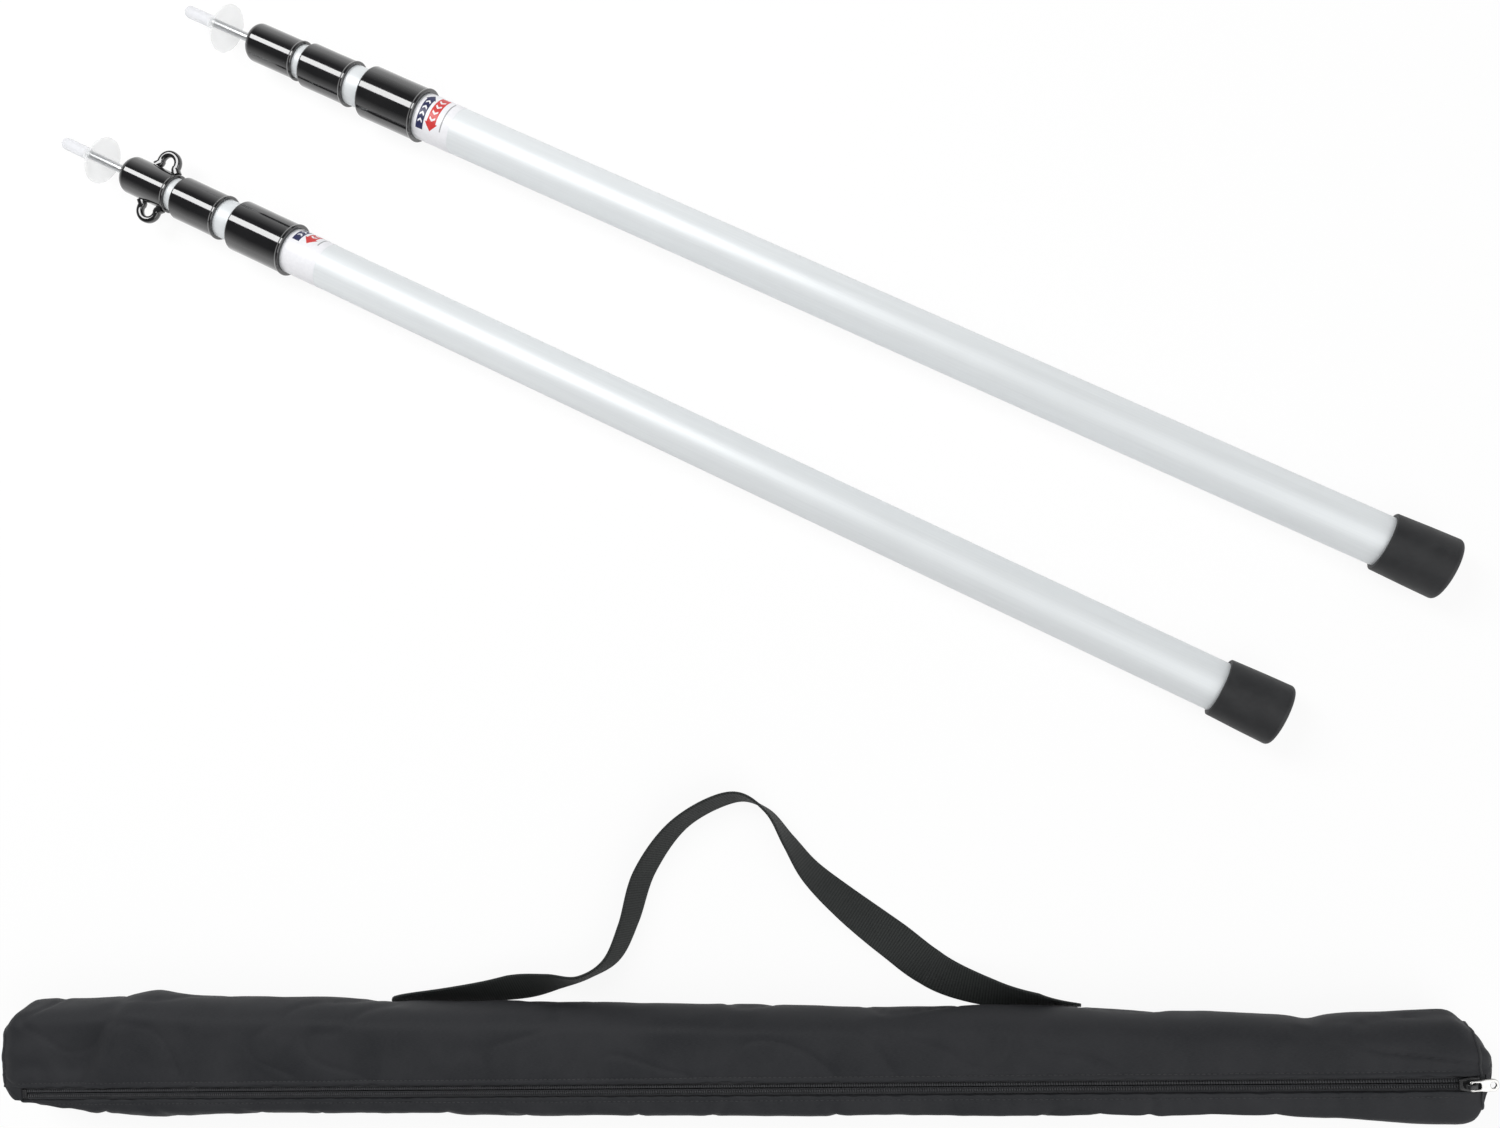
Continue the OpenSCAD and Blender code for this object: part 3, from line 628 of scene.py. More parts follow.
# strap, laid on the floor beside the bag and sewn to its back seam

def strapSpot(x, y, roll, way):
    tilt = math.radians(roll)
    standing = strap["width"] / 2 * abs(math.sin(tilt))
    lying = strap["thick"] / 2 * abs(math.cos(tilt))
    side = Vector((-way[1], way[0], 0)).normalized()
    across = side * math.cos(tilt) + Vector((0, 0, 1)) * math.sin(tilt)
    return Vector((x, y, standing + lying + strap["lift"])) * mm, across


def strapTrim(w, run, whole):
    # where a point across the strap lies once each end is cut on its slant
    half = strap["width"] / 2
    for sign, left, (reach, least, power) in zip((1, -1), (run, whole - run), strap["trims"]):
        share = least + (1 - least) * min(max(left, 0) / (reach * mm), 1) ** power
        w = sign * ((sign * w + half) * share - half)
    return w


def ribbed(w):
    return abs(w) < strap["width"] / 2 - strap["selvedge"]


def strapSection():
    # round selvedges, flat faces; across the width and through the thickness
    half, thin = strap["width"] / 2, strap["thick"] / 2
    side = [half - inset for inset in strap["insets"]] + [strap["inner"] * half]
    face = side + [-w for w in reversed(side)]
    upper = [(w, thin if ribbed(w) else strap["edgeThin"] * thin) for w in face]
    lower = [(w, -t) for w, t in reversed(upper)]
    return upper + [(-half, 0)] + lower + [(half, 0)]


def makeStrap():
    fine = smoothRoute(strap["route"], strap["routeSteps"])
    flat = np.gradient(fine[:, :2], axis=0)
    spots = [strapSpot(*row, way) for row, way in zip(fine, flat)]
    runs = np.concatenate([[0], np.cumsum([(b[0] - a[0]).length for a, b in zip(spots, spots[1:])])])
    ribs = int(runs[-1] / (strap["ribPitch"] * mm))
    stations = np.linspace(0, runs[-1], ribs * strap["ribSteps"] + 1)

    def evenly(vectors):
        return np.stack([np.interp(stations, runs, column) for column in np.array(vectors).T], axis=1)

    centres = evenly([spot for spot, across in spots])
    acrosses = evenly([across for spot, across in spots])
    ways = np.gradient(centres, axis=0)
    section = strapSection()
    widths = [0.0]
    for (w0, t0), (w1, t1) in zip(section, section[1:] + section[:1]):
        widths.append(widths[-1] + math.hypot(w1 - w0, t1 - t0) * mm)
    rings, lengths = [], []
    for index, station in enumerate(stations):
        across = Vector(acrosses[index]).normalized()
        way = Vector(ways[index]).normalized()
        across = (across - way * across.dot(way)).normalized()
        normal = way.cross(across)
        rib = math.cos(2 * math.pi * index / strap["ribSteps"]) * strap["ribDepth"] / 2
        ring = []
        for w, t in section:
            lift = t + math.copysign(rib, t) if t and ribbed(w) else t
            aside = across * strapTrim(w, station, runs[-1])
            ring.append(bagPlace @ (Vector(centres[index]) + (aside + normal * lift) * mm))
        rings.append(ring)
        lengths.append((index / strap["ribSteps"] + 0.5) * strap["ribPitch"] * mm)
    piece = loftRings("carryStrap", rings, finishes["webbing"], capped=True, sharp=60,
                      uvs=lambda row, col: (lengths[row], widths[col]))
    dress(piece, "set", "strap_webbing", "carry_strap")
    spread = strap["ribSteps"] * strap["lineRibs"]
    line = [tuple(bagPlace @ Vector(centre)) for centre in centres[::spread]]
    line.append(tuple(bagPlace @ Vector(centres[-1])))
    print("strap made: %.3f m, %d ribs" % (runs[-1], ribs))
    return centres, acrosses, ways, stations


strapLine = makeStrap()


# poles

footSet = {
    "base": 19.8, "waist": 19.35, "top": 18.65,  # radii from the sole up
    "socket": 16.05, "floor": 6,
    "round": 3.0, "waistBend": 60, "rim": 0.9, "socketRim": 0.4,
    "grooves": (6.5, 12.0), "grooveHalf": 1.0, "grooveBed": 0.6, "grooveDepth": 0.8,
}


def makeFoot(side, place):
    foot = footSet
    height = poleSpan(side, "foot")[1]
    half, bed, depth = foot["grooveHalf"], foot["grooveBed"], foot["grooveDepth"]
    sole = [(0, 0)]
    for ring in foot["grooves"]:  # moulded rings under the sole
        sole += [(ring - half, 0), (ring - bed, depth), (ring + bed, depth), (ring + half, 0)]
    outline = rounded(sole + [
        (foot["base"], 0, foot["round"]),
        (foot["waist"], height / 2, foot["waistBend"]),
        (foot["top"], height, foot["rim"]),
        (foot["socket"], height, foot["socketRim"]),
        (foot["socket"], foot["floor"]),
        (0, foot["floor"]),
    ])
    piece = lathe(side + "Foot", outline, place, finishes["rubber"], segments=112)
    dress(piece, "set", "black_rubber", side + "_foot")


tubeSet = {
    "outer": (16.0, 14.8), "mid": (14.0, 12.9), "inner": (12.1, 11.1),  # outside radius, bore
    "edge": 0.35, "boreEdge": 0.2,
}


def makeTube(side, which, body, place):
    radius, bore = tubeSet[which]
    edge, boreEdge = tubeSet["edge"], tubeSet["boreEdge"]
    lower, upper = poleSpan(side, which + "_tube")
    outline = rounded([
        (bore, lower, boreEdge), (radius, lower, edge),
        (radius, upper, edge), (bore, upper, boreEdge),
    ], closed=True, steps=3)
    name = side + which.capitalize() + "Tube"
    piece = lathe(name, outline, place, finishes["tube"], closed=True, segments=128)
    dress(piece, body, "anodised_tube", side + "_" + which + "_tube")


# the rolled lower edge of a collar or cap: out and up in shares of the bead, then the rounding
rolledEdge = [(0.3, 0, 0.3), (1, 0.9, 0.4), (1, 2.4, 0.5), (0, 4.2, 0.9)]


def beadCorners(radius, lower, bead):
    return [(radius + out * bead, lower + up * bead, bend) for out, up, bend in rolledEdge]


collarSet = {
    "outer": (16.0, 14.0, 2.3),  # tube, sliding tube, wall
    "mid": (14.0, 12.1, 1.6),
    "lip": 3.0, "round": 1.6, "bead": 0.6, "seat": 0.05, "clear": 0.3,
    "waist": 0.12, "waistBend": 200, "mouthRim": 0.5,
}


def makeCollar(side, which, body, place):
    tube, slide, wall = collarSet[which]
    lower, upper = poleSpan(side, which + "_collar")
    lipAt = upper - collarSet["lip"]
    seat = tube + collarSet["seat"]
    outer = tube + wall
    mouth = slide + collarSet["clear"]
    outline = rounded([
        (seat, lower), *beadCorners(outer, lower, collarSet["bead"]),
        (outer - collarSet["waist"], (lower + upper) / 2, collarSet["waistBend"]),
        (outer, upper, collarSet["round"]),
        (mouth, upper, collarSet["mouthRim"]),
        (mouth, lipAt),
        (seat, lipAt),
    ], closed=True)
    name = side + which.capitalize() + "Collar"
    piece = lathe(name, outline, place, finishes["vinyl"], closed=True, segments=112)
    dress(piece, body, "black_vinyl", side + "_" + which + "_collar")


squareness = 0.62  # below 1, a circle fills out towards a square


def squarer(value):
    return math.copysign(abs(value) ** squareness, value)


loopSet = {
    "place": 14.0, "reach": 18.25, "hole": 4.3, "bar": 4.8, "thick": 5.0, "root": 13.1, "flare": 2.0,
    "arc": 108, "arcSteps": 24, "smoothing": 2, "sides": 16,
    "rootRun": 5, "rootWide": 0.8, "rootHigh": 0.3,  # the bar thickens at its roots
}


def loopRing(place, lower, sideSign):
    # a round bar bent into a D, its two roots sunk in the cap's wall
    loop = loopSet
    middle = loop["hole"] + loop["bar"] / 2
    spots = [(loop["root"], -middle - loop["flare"])]
    for turn in np.linspace(-loop["arc"], loop["arc"], loop["arcSteps"] + 1):
        angle = math.radians(turn)
        spots.append((loop["reach"] + middle * math.cos(angle), middle * math.sin(angle)))
    spots.append((loop["root"], middle + loop["flare"]))
    spots = smoothRoute(spots, loop["smoothing"])
    rings = []
    for index, spot in enumerate(spots):
        way = spots[min(index + 1, len(spots) - 1)] - spots[max(index - 1, 0)]
        way = Vector(way).normalized()
        out = Vector((way.y, -way.x))
        root = max(0.0, 1 - (spot[0] - loop["root"]) / loop["rootRun"])
        ring = []
        for angle in circle(loop["sides"]):
            wide = squarer(math.cos(angle)) * (loop["bar"] / 2 + loop["rootWide"] * root)
            high = squarer(math.sin(angle)) * (loop["thick"] / 2 + loop["rootHigh"] * root)
            across = spot[0] + out.x * wide
            height = lower + loop["place"] + spot[1] + out.y * wide
            ring.append((high, sideSign * across, height))
        rings.append(putAt(place, ring))
    return loftRings("loop", rings, finishes["vinyl"], capped=True, sharp=60)


capSet = {
    "radius": 13.6, "bore": 12.15, "head": 7.0, "round": 5.0, "bead": 0.6,
    "boss": 6.0, "bossDepth": 15.0, "pinHole": 3.05, "pinRim": 0.5,
}


def makeCap(side, body, place):
    cap = capSet
    lower, upper = poleSpan(side, "top_cap")
    headAt, bossAt = upper - cap["head"], upper - cap["bossDepth"]
    outline = rounded([
        (cap["bore"], lower), *beadCorners(cap["radius"], lower, cap["bead"]),
        (cap["radius"], upper, cap["round"]),
        (cap["pinHole"], upper, cap["pinRim"]),
        (cap["pinHole"], bossAt),
        (cap["boss"], bossAt),
        (cap["boss"], headAt),
        (cap["bore"], headAt),
    ], closed=True)
    parts = [lathe(side + "TopCap", outline, place, finishes["vinyl"], closed=True, segments=112)]
    if side == "front":
        parts += [loopRing(place, lower, sign) for sign in (1, -1)]
    dress(joinPieces(side + "TopCap", parts), body, "black_vinyl", side + "_top_cap")


spikeSet = {"radius": 3.0, "point": 2.0, "footRound": 0.3, "shoulder": 0.6, "tipRound": 0.5}


def makeSpike(side, body, place):
    pin = spikeSet
    lower, upper = poleSpan(side, "spike")
    outline = rounded([
        (0, lower),
        (pin["radius"], lower, pin["footRound"]),
        (pin["radius"], upper - pin["point"], pin["shoulder"]),
        (pin["radius"] - pin["point"], upper, pin["tipRound"]),
        (0, upper),
    ])
    piece = lathe(side + "Spike", outline, place, finishes["steel"], segments=48)
    dress(piece, body, "steel", side + "_spike")


coverSet = {
    "rim": 17.0, "skirt": 15.0, "wall": 1.2, "tail": 4.4, "bore": 3.08, "throat": 4.0, "clear": 0.1,
    "flare": 1.7, "hollow": 1.35,  # how quickly the skirt and its inside open out
    "rimIn": 0.35, "rimDrop": 0.02, "rimRise": 0.4,
    "skirtSteps": 20, "tailSteps": 8,
}


def makeCover(side, body, place):
    cover = coverSet
    rim, wall, bore, thin = cover["rim"], cover["wall"], cover["bore"], cover["tail"]
    rimAt, tip = poleSpan(side, "spike_cover")
    socket = poleSpan(side, "spike")[1] + cover["clear"]
    tailAt = rimAt + cover["skirt"]
    outside, inside, tail = [], [], []
    for step in range(cover["skirtSteps"] + 1):
        share = step / cover["skirtSteps"]
        outside.append((thin + (rim - thin) * (1 - share) ** cover["flare"],
                        rimAt + wall + (cover["skirt"] - wall) * share))
        inside.append((bore + (rim - wall - bore) * (1 - share) ** cover["hollow"],
                       rimAt + (tailAt - cover["throat"] - rimAt) * share))
    for step in range(cover["tailSteps"] + 1):
        angle = math.pi / 2 * step / cover["tailSteps"]
        tail.append((thin * math.cos(angle), tip - thin * (1 - math.sin(angle))))
    tail[-1] = (0, tip)
    outline = [(0, socket), (bore, socket)] + inside[::-1]
    outline += [(rim - cover["rimIn"], rimAt - cover["rimDrop"]), (rim, rimAt + cover["rimRise"])]
    outline += outside + tail
    piece = lathe(side + "SpikeCover", outline, place, finishes["cover"], segments=96, sharp=60)
    piece.data.materials.append(finishes["tail"])
    toPole = place.inverted()
    for face in piece.data.polygons:
        if (toPole @ face.center).z > (tailAt - wall) * mm:
            face.material_index = 1
    dress(piece, body, "clear_cover", side + "_spike_cover")


labelSet = {
    "radius": 16.15, "seat": 16.005, "edge": 0.06,
    "ink": 0.05, "inkShare": 0.6,  # the step of a printed layer, and how much of it the ink fills
    "turn": {"front": -68, "rear": 0},  # how far each pole's label is turned to the back, in degrees
    # middle from the label's upper end, head's width, shaft's width, from angle, to angle where the head is
    "arrows": (("navy", 5.2, 7.6, 5.4, 42, -58), ("red", 13.6, 9.8, 6.8, -64, 38)),
    "shaftSteps": 22, "headShare": 0.2, "headSteps": 8, "shoulder": 1e-4, "headTip": 0.02,
    "marks": {"count": 4, "from": 0.16, "to": 0.66, "long": 0.055, "wide": 0.62, "point": 0.06, "steps": 5},
    "stripe": (21.2, 0.9, -60, 30),  # a thin plain line: place, width, from angle, to angle
    "stripeSteps": 24,
}


def inkPatch(ink, rows, layer, place):
    # a thin printed patch round the label; each row is an angle and its lower and upper edge along the pole
    radius = labelSet["radius"] + layer * labelSet["ink"]
    under = radius - labelSet["inkShare"] * labelSet["ink"]
    spots, faces = [], []
    for turn, low, high in rows:
        angle = math.radians(turn)
        for height in (low, high):
            for reach in (under, radius):
                spots.append((reach * math.cos(angle), -reach * math.sin(angle), height))
    for row in range(len(rows) - 1):
        base, ahead = row * 4, row * 4 + 4
        for first, second in ((0, 1), (1, 3), (3, 2), (2, 0)):
            faces.append((base + first, base + second, ahead + second, ahead + first))
    last = (len(rows) - 1) * 4
    faces += [(0, 1, 3, 2), (last, last + 1, last + 3, last + 2)]
    return finishMesh("ink", putAt(place, spots), faces, finishes[ink])


def arrowPatches(upper, turned, place, ink, down, head, shaft, fromAngle, toAngle):
    # an arrow with a broad shaft, and plain pale chevrons on it
    label = labelSet
    middle = upper - down
    headFrom = 1 - label["headShare"]
    rows = [(share, shaft / 2) for share in np.linspace(0, headFrom, label["shaftSteps"])]
    for share in np.linspace(headFrom, 1, label["headSteps"]):
        width = max(label["headTip"], (1 - share) / label["headShare"])
        rows.append((share + label["shoulder"], head / 2 * width))
    sweep = toAngle - fromAngle
    spots = [(turned + fromAngle + sweep * share, middle - half, middle + half) for share, half in rows]
    patches = [inkPatch(ink, spots, 1, place)]
    marks = label["marks"]
    half = shaft / 2 * marks["wide"]
    for start in np.linspace(marks["from"], marks["to"], marks["count"]):
        for sign in (-1, 1):  # the two legs of a chevron that points to the head
            steps = np.linspace(0, 1, marks["steps"])
            for low, high in zip(steps, steps[1:]):
                share = start + marks["point"] * (1 - high)
                edges = sorted((middle + sign * half * low, middle + sign * half * high))
                rows = [(turned + fromAngle + sweep * (share + marks["long"] * part), *edges)
                        for part in (0, 0.5, 1)]
                patches.append(inkPatch("label", rows, 2, place))
    return patches


def makeLabel(side, place):
    label = labelSet
    lower, upper = poleSpan(side, "lock_label")
    turned = label["turn"][side]
    outline = rounded([
        (label["seat"], lower), (label["radius"], lower, label["edge"]),
        (label["radius"], upper, label["edge"]), (label["seat"], upper),
    ], closed=True, steps=2)
    parts = [lathe(side + "LockLabel", outline, place, finishes["label"], closed=True, segments=128)]
    for arrow in label["arrows"]:
        parts += arrowPatches(upper, turned, place, *arrow)
    down, wide, fromAngle, toAngle = label["stripe"]
    low, high = upper - down - wide / 2, upper - down + wide / 2
    turns = np.linspace(turned + fromAngle, turned + toAngle, label["stripeSteps"])
    parts.append(inkPatch("grey", [(turn, low, high) for turn in turns], 1, place))
    dress(joinPieces(side + "LockLabel", parts), "set", "label_film", side + "_lock_label")


for side, place in polePlaces.items():
    midBody, innerBody = side + "_mid_section", side + "_inner_section"
    makeFoot(side, place)
    makeTube(side, "outer", "set", place)
    makeCollar(side, "outer", "set", place)
    makeLabel(side, place)
    makeTube(side, "mid", midBody, place)
    makeCollar(side, "mid", midBody, place)
    makeTube(side, "inner", innerBody, place)
    makeCap(side, innerBody, place)
    makeSpike(side, innerBody, place)
    makeCover(side, side + "_cover", place)
    print(side, "pole dressed")

innerFinish = {
    "outer_bush": "whiteNylon", "mid_bush": "whiteNylon",
    "mid_plug": "darkNylon", "inner_plug": "darkNylon",
    "mid_stud": "steel", "inner_stud": "steel",
    "mid_expander": "naturalNylon", "inner_expander": "naturalNylon",
    "mid_wedge": "darkNylon", "inner_wedge": "darkNylon",
}
for side in polePlaces:
    for node, finish in innerFinish.items():
        inner = frame["nodes"][side + "_" + node]
        if not inner.material_slots:
            inner.data.materials.append(None)
        for slot in inner.material_slots:
            slot.material = finishes[finish]
print("lock pieces finished")


# bag

bag = {
    "stations": 430,
    "endSteps": 4,  # rings for each step of an end's table
    "counts": (26, 18, 12, 14, 12),  # top behind the zip, back, bottom, front, top before the zip
    "crowd": 1.5,  # points crowd towards the zip
    "crown": 1.6,
    "slitHalf": 4.5,
    "slitMargin": 1.0,  # from the slit's middle to the ends of the flat top
    "slitParts": 3,  # half the slit takes at most a third of the flat top
    "grooveFloor": 41.8,
    "grooveEnd": 481.5,
    "grooveTight": 0.995,
    # the zip's groove: across in shares of the slit, down in shares of its depth
    "groove": ((-1, 0.35), (-1, 1), (-0.5, 1), (0, 1), (0.5, 1), (1, 1), (1, 0.35)),
    "leastSide": 4.0,
    "tipAside": (-2.0, 2.0),  # where the left and the right tip lie across the bag
    # share of the end's depth, then of the rear half's width, of the front half's width and of the height
    "ends": (
        [(0, 1, 1, 1), (0.3, 0.985, 0.80, 0.965), (0.55, 0.86, 0.58, 0.87), (0.75, 0.63, 0.38, 0.74),
         (0.9, 0.35, 0.19, 0.57), (1, 0.10, 0.06, 0.38)],
        [(0, 1, 1, 1), (0.25, 0.985, 0.985, 0.985), (0.5, 0.84, 0.90, 0.94), (0.75, 0.57, 0.60, 0.85),
         (0.9, 0.33, 0.26, 0.73), (1, 0.12, 0.10, 0.52)],
    ),
    "hem": 2.8,
    "swellSteps": 8,
    # place along the bag, swell of the back edge, swell of the front edge
    "swell": [
        (-464, -4.6, -8), (-450, -3.8, -6.2), (-424, -2.4, -2.4), (-400, -0.4, 0.6), (-381, 2.9, 2.8),
        (-360, 1.2, 3.2), (-320, -0.4, 2), (-240, -1, 0.2), (-60, -1.8, 0), (150, -2, -1.2), (200, -1.2, -3),
        (258, -0.9, -4), (300, -2.2, -3.8), (345, -2.2, -3.4), (366, -2.4, -3.2), (380, -3.2, -3),
        (391, -4.8, -2.8), (402, -2.6, -2.4), (416, -1.6, -1.6), (440, -1.2, 0.2), (464, -0.4, 1),
    ],
    "foldGain": 1.5,
    "foldFade": (0.12, 0.76),  # how far into half a wave a fold starts, and how much of it it takes
    # soft folds on the top: from x, y to x, y, depth, width
    "folds": [
        (-402, 30, -424, -18, 2.6, 10), (-384, 32, -412, -26, -2.2, 9), (-440, 24, -425, -10, 0.9, 8),
        (-455, 5, -430, -22, 0.9, 7), (-360, 34, -385, 8, 0.8, 8), (-330, -22, -352, 12, 0.6, 10),
        (-285, -26, -272, 4, 0.7, 12), (-205, -20, -225, 18, 0.5, 14), (391, 30, 376, 8, 1.0, 7),
        (404, 28, 414, 6, -0.9, 8), (430, 18, 452, -4, 0.8, 8), (300, 20, 265, -2, 0.5, 14),
        (40, 28, 15, -4, 0.45, 16), (-90, 26, -60, 0, 0.45, 16), (150, 24, 190, 2, 0.5, 15),
    ],
}
swellLine = smoothRoute(bag["swell"], bag["swellSteps"])


def swellAt(x):
    return [np.interp(x, swellLine[:, 0], swellLine[:, column]) for column in (1, 2)]


def zipLine(x):
    return -bagPlan["zipFront"] + x * math.tan(math.radians(bagPlan["zipSkew"]))


def bagRing(x, shares, tip, groove):
    # one section of the bag, starting behind the zip and going round by the back
    held = min(max(x, -seamX), seamX)
    back, front = swellAt(held)
    rear = bagPlan["backReach"] - bagPlan["backTaper"] * held + back
    fore = -bagPlan["frontReach"] - front
    full = rear - fore
    rearShare, foreShare, high = shares
    rear = tip + (rear - tip) * rearShare
    fore = tip + (fore - tip) * foreShare
    wide = (rear - fore) / full
    sideBack = bagPlan["sideBack"] * wide
    sideFront = max(bagPlan["sideFront"] + front, bag["leastSide"]) * wide
    half = bagPlan["height"] / 2
    top, bottom = half + half * high, half - half * high
    flatBack, flatFront = rear - sideBack, fore + sideFront
    margin = bag["slitMargin"]
    slit = min(max(zipLine(x), flatFront + margin), flatBack - margin)
    gap = min(bag["slitHalf"], (flatBack - flatFront) / bag["slitParts"])
    crown = bag["crown"] * wide

    def topAt(y):
        place = (2 * y - flatBack - flatFront) / (flatBack - flatFront)
        return top + crown * (1 - place * place)

    counts = bag["counts"]
    ring = []
    for step in range(counts[0]):
        y = slit + gap + (flatBack - slit - gap) * (step / counts[0]) ** bag["crowd"]
        ring.append((y, topAt(y)))
    for step in range(counts[1]):
        angle = math.pi * step / counts[1]
        ring.append((flatBack + sideBack * math.sin(angle), half + (top - half) * math.cos(angle)))
    for step in range(counts[2]):
        ring.append((flatBack + (flatFront - flatBack) * step / counts[2], bottom))
    for step in range(counts[3]):
        angle = math.pi * step / counts[3]
        ring.append((flatFront - sideFront * math.sin(angle), half - (top - half) * math.cos(angle)))
    for step in range(counts[4] + 1):
        y = flatFront + (slit - gap - flatFront) * (1 - (1 - step / counts[4]) ** bag["crowd"])
        ring.append((y, topAt(y)))
    edge = topAt(slit)
    floor = edge + (bag["grooveFloor"] - edge) * groove
    for share, depth in bag["groove"]:
        ring.append((slit + share * gap * bag["grooveTight"], edge + (floor - edge) * depth))
    return ring


def foldHeight(x, y):
    start, part = bag["foldFade"]
    lift = 0.0
    for x0, y0, x1, y1, depth, width in bag["folds"]:
        way = Vector((x1 - x0, y1 - y0))
        share = min(max((Vector((x - x0, y - y0))).dot(way) / way.length_squared, 0), 1)
        gapX, gapY = x - x0 - way.x * share, y - y0 - way.y * share
        fade = math.sin(math.pi * (start + part * share))
        lift -= bag["foldGain"] * depth * fade * math.exp(-(gapX * gapX + gapY * gapY) / (width * width))
    return lift


drape = {
    "broad": (1.5, 95, 42),  # depth of the waves, their length along the bag and across it
    "fine": (0.3, 14, 24),
    "middle": (0.8, 2.7, (4.1, 0, 2.2)),  # depth, how many times finer than the broad waves, offset
    "crease": (1.3, 9),  # depth and keenness of the creases, then the slanting waves that they follow
    "creaseAlong": (70, 60),
    "creaseAcross": (50, 160),
    "creaseUp": (50, 7),
    "topFrom": 0.8,  # the folds lie above this share of the height
    "pucker": (0.22, 0.47, 7),  # depth, turn for each mm, reach beyond the hem
    "puckerWander": (1.3, 0.061),
    "zipCalm": (0.25, 14),  # how much is left at the zip, and the distance over which the rest comes back
    "hemRoll": (0.45, 1.2, 1.3),  # height, place beside the slit, width
    "hemDent": (0.4, 0.7),
    "ground": 4,  # below this height the cloth comes to rest
    "gather": (0.9, 9, 0.02),  # depth, gathers round an end, slant
    "gatherFrom": 40,
    "gatherRun": 60,
    "tipCalm": 0.8,
}


def hemLift(x, y, lift):
    # beside the zip the cloth calms down, puckers along its hem and rolls over at the slit
    away = abs(y - zipLine(x)) - bag["slitHalf"]
    hem = bag["hem"]
    depth, rate, reach = drape["pucker"]
    wander, wanderRate = drape["puckerWander"]
    ripple = math.sin(x * rate + wander * math.sin(x * wanderRate))
    pucker = depth * ripple * math.exp(-max(away - hem, 0) / reach)
    least, calmRun = drape["zipCalm"]
    height, place, width = drape["hemRoll"]
    roll = height * math.exp(-((away - place) / width) ** 2)
    deep, dentWidth = drape["hemDent"]
    dent = deep * math.exp(-((away - hem) / dentWidth) ** 2)
    return lift * min(1, least + max(away, 0) / calmRun) + pucker + (roll - dent)


def clothLift(x, y, z):
    # how far the cloth stands off its plain form
    depth, along, across = drape["broad"]
    spot = Vector((x / along, y / across, z / across))
    lift = depth * noise.noise(spot)
    depth, finer, offset = drape["middle"]
    lift += depth * noise.noise(spot * finer + Vector(offset))
    depth, along, across = drape["fine"]
    lift += depth * noise.noise(Vector((x / along, y / across, z / across)))
    depth, keen = drape["crease"]
    alongX, alongY = drape["creaseAlong"]
    acrossY, acrossX = drape["creaseAcross"]
    up, offset = drape["creaseUp"]
    slant = Vector((x / alongX + y / alongY, y / acrossY - x / acrossX, z / up + offset))
    lift -= depth * max(0.0, 1 - abs(noise.noise(slant)) * keen) ** 2
    if z > bagPlan["height"] * drape["topFrom"]:
        lift = hemLift(x, y, lift + foldHeight(x, y))
    if z < drape["ground"]:
        lift *= z / drape["ground"]
    depth, count, slope = drape["gather"]
    ends = max(0.0, (abs(x) - seamX + drape["gatherFrom"]) / drape["gatherRun"])
    lift += ends * depth * math.sin(count * math.atan2(z - bagPlan["height"] / 2, y) + x * slope)
    tip = max(0.0, (abs(x) - seamX) / bagPlan["endDepth"])
    return lift * (1 - drape["tipCalm"] * tip)


def makeBag():
    plain = (1.0, 1.0, 1.0)
    tiny = 1e-12
    runs = []
    for sign, tip, table in zip((-1, 1), bag["tipAside"], bag["ends"]):
        run = []
        for share, *shares in smoothRoute(table, bag["endSteps"])[1:]:
            x = sign * (seamX + bagPlan["endDepth"] * share)
            run.append((x, shares, tip, 1.0 if sign > 0 and x < bag["grooveEnd"] else 0.0))
        runs.append(run)
    body = [(x, plain, 0.0, 1.0) for x in np.linspace(-seamX, seamX, bag["stations"])]
    body[0] = (-seamX, plain, 0.0, 0.0)
    stations = runs[0][::-1] + body + runs[1]
    grid = np.array([[(station[0], y, z) for y, z in bagRing(*station)] for station in stations])
    around = (np.roll(grid, -1, axis=1) - np.roll(grid, 1, axis=1)) / 2
    outward = np.cross(np.gradient(grid, axis=0), around)
    outward /= np.linalg.norm(outward, axis=2, keepdims=True) + tiny
    cloth = sum(bag["counts"]) + 1  # the points before the zip's groove
    moved = grid.copy()
    for row, col in np.ndindex(len(stations), cloth):
        moved[row, col] += outward[row, col] * clothLift(*grid[row, col])
    moved[:, :, 2] = np.maximum(moved[:, :, 2], 0)  # the cloth lies on the ground
    girths = np.linalg.norm(np.diff(np.concatenate([grid, grid[:, :1]], axis=1), axis=1), axis=2)
    aroundRun = np.concatenate([np.zeros((len(grid), 1)), np.cumsum(girths, axis=1)], axis=1)
    strides = np.linalg.norm(np.diff(grid, axis=0), axis=2).mean(axis=1)
    alongRun = np.concatenate([[0], np.cumsum(strides)])
    rings = [putAt(bagPlace, ring) for ring in moved]
    piece = loftRings("bagCloth", rings, finishes["cloth"], capped=True, sharp=50,
                      uvs=lambda row, col: (alongRun[row] * mm, aroundRun[row][col] * mm))
    dress(piece, "set", "bag_cloth", "bag_panel", "bag_left_end", "bag_right_end")
    print("bag lofted:", len(piece.data.polygons), "faces")
    return moved


bagGrid = makeBag()


# zip

zipSet = {
    "left": -463.3, "right": 481.3, "stations": 96,
    "tapeLow": 44.05, "tapeThick": 0.7, "tapeFrom": 0.3, "tapeTo": 4.4,
    "toothPitch": 1.5, "toothLength": 1.2, "toothWidth": 2.3, "toothHeight": 1.7, "toothAside": 1.65,
    "toothSunk": 0.12, "toothUneven": 0.04, "firstGap": 0.9, "lastGap": 0.5,
    "stop": 3.0, "stopHalf": 2.8, "stopHeight": 1.6, "stopSunk": 0.05, "stopEase": 0.45,
}


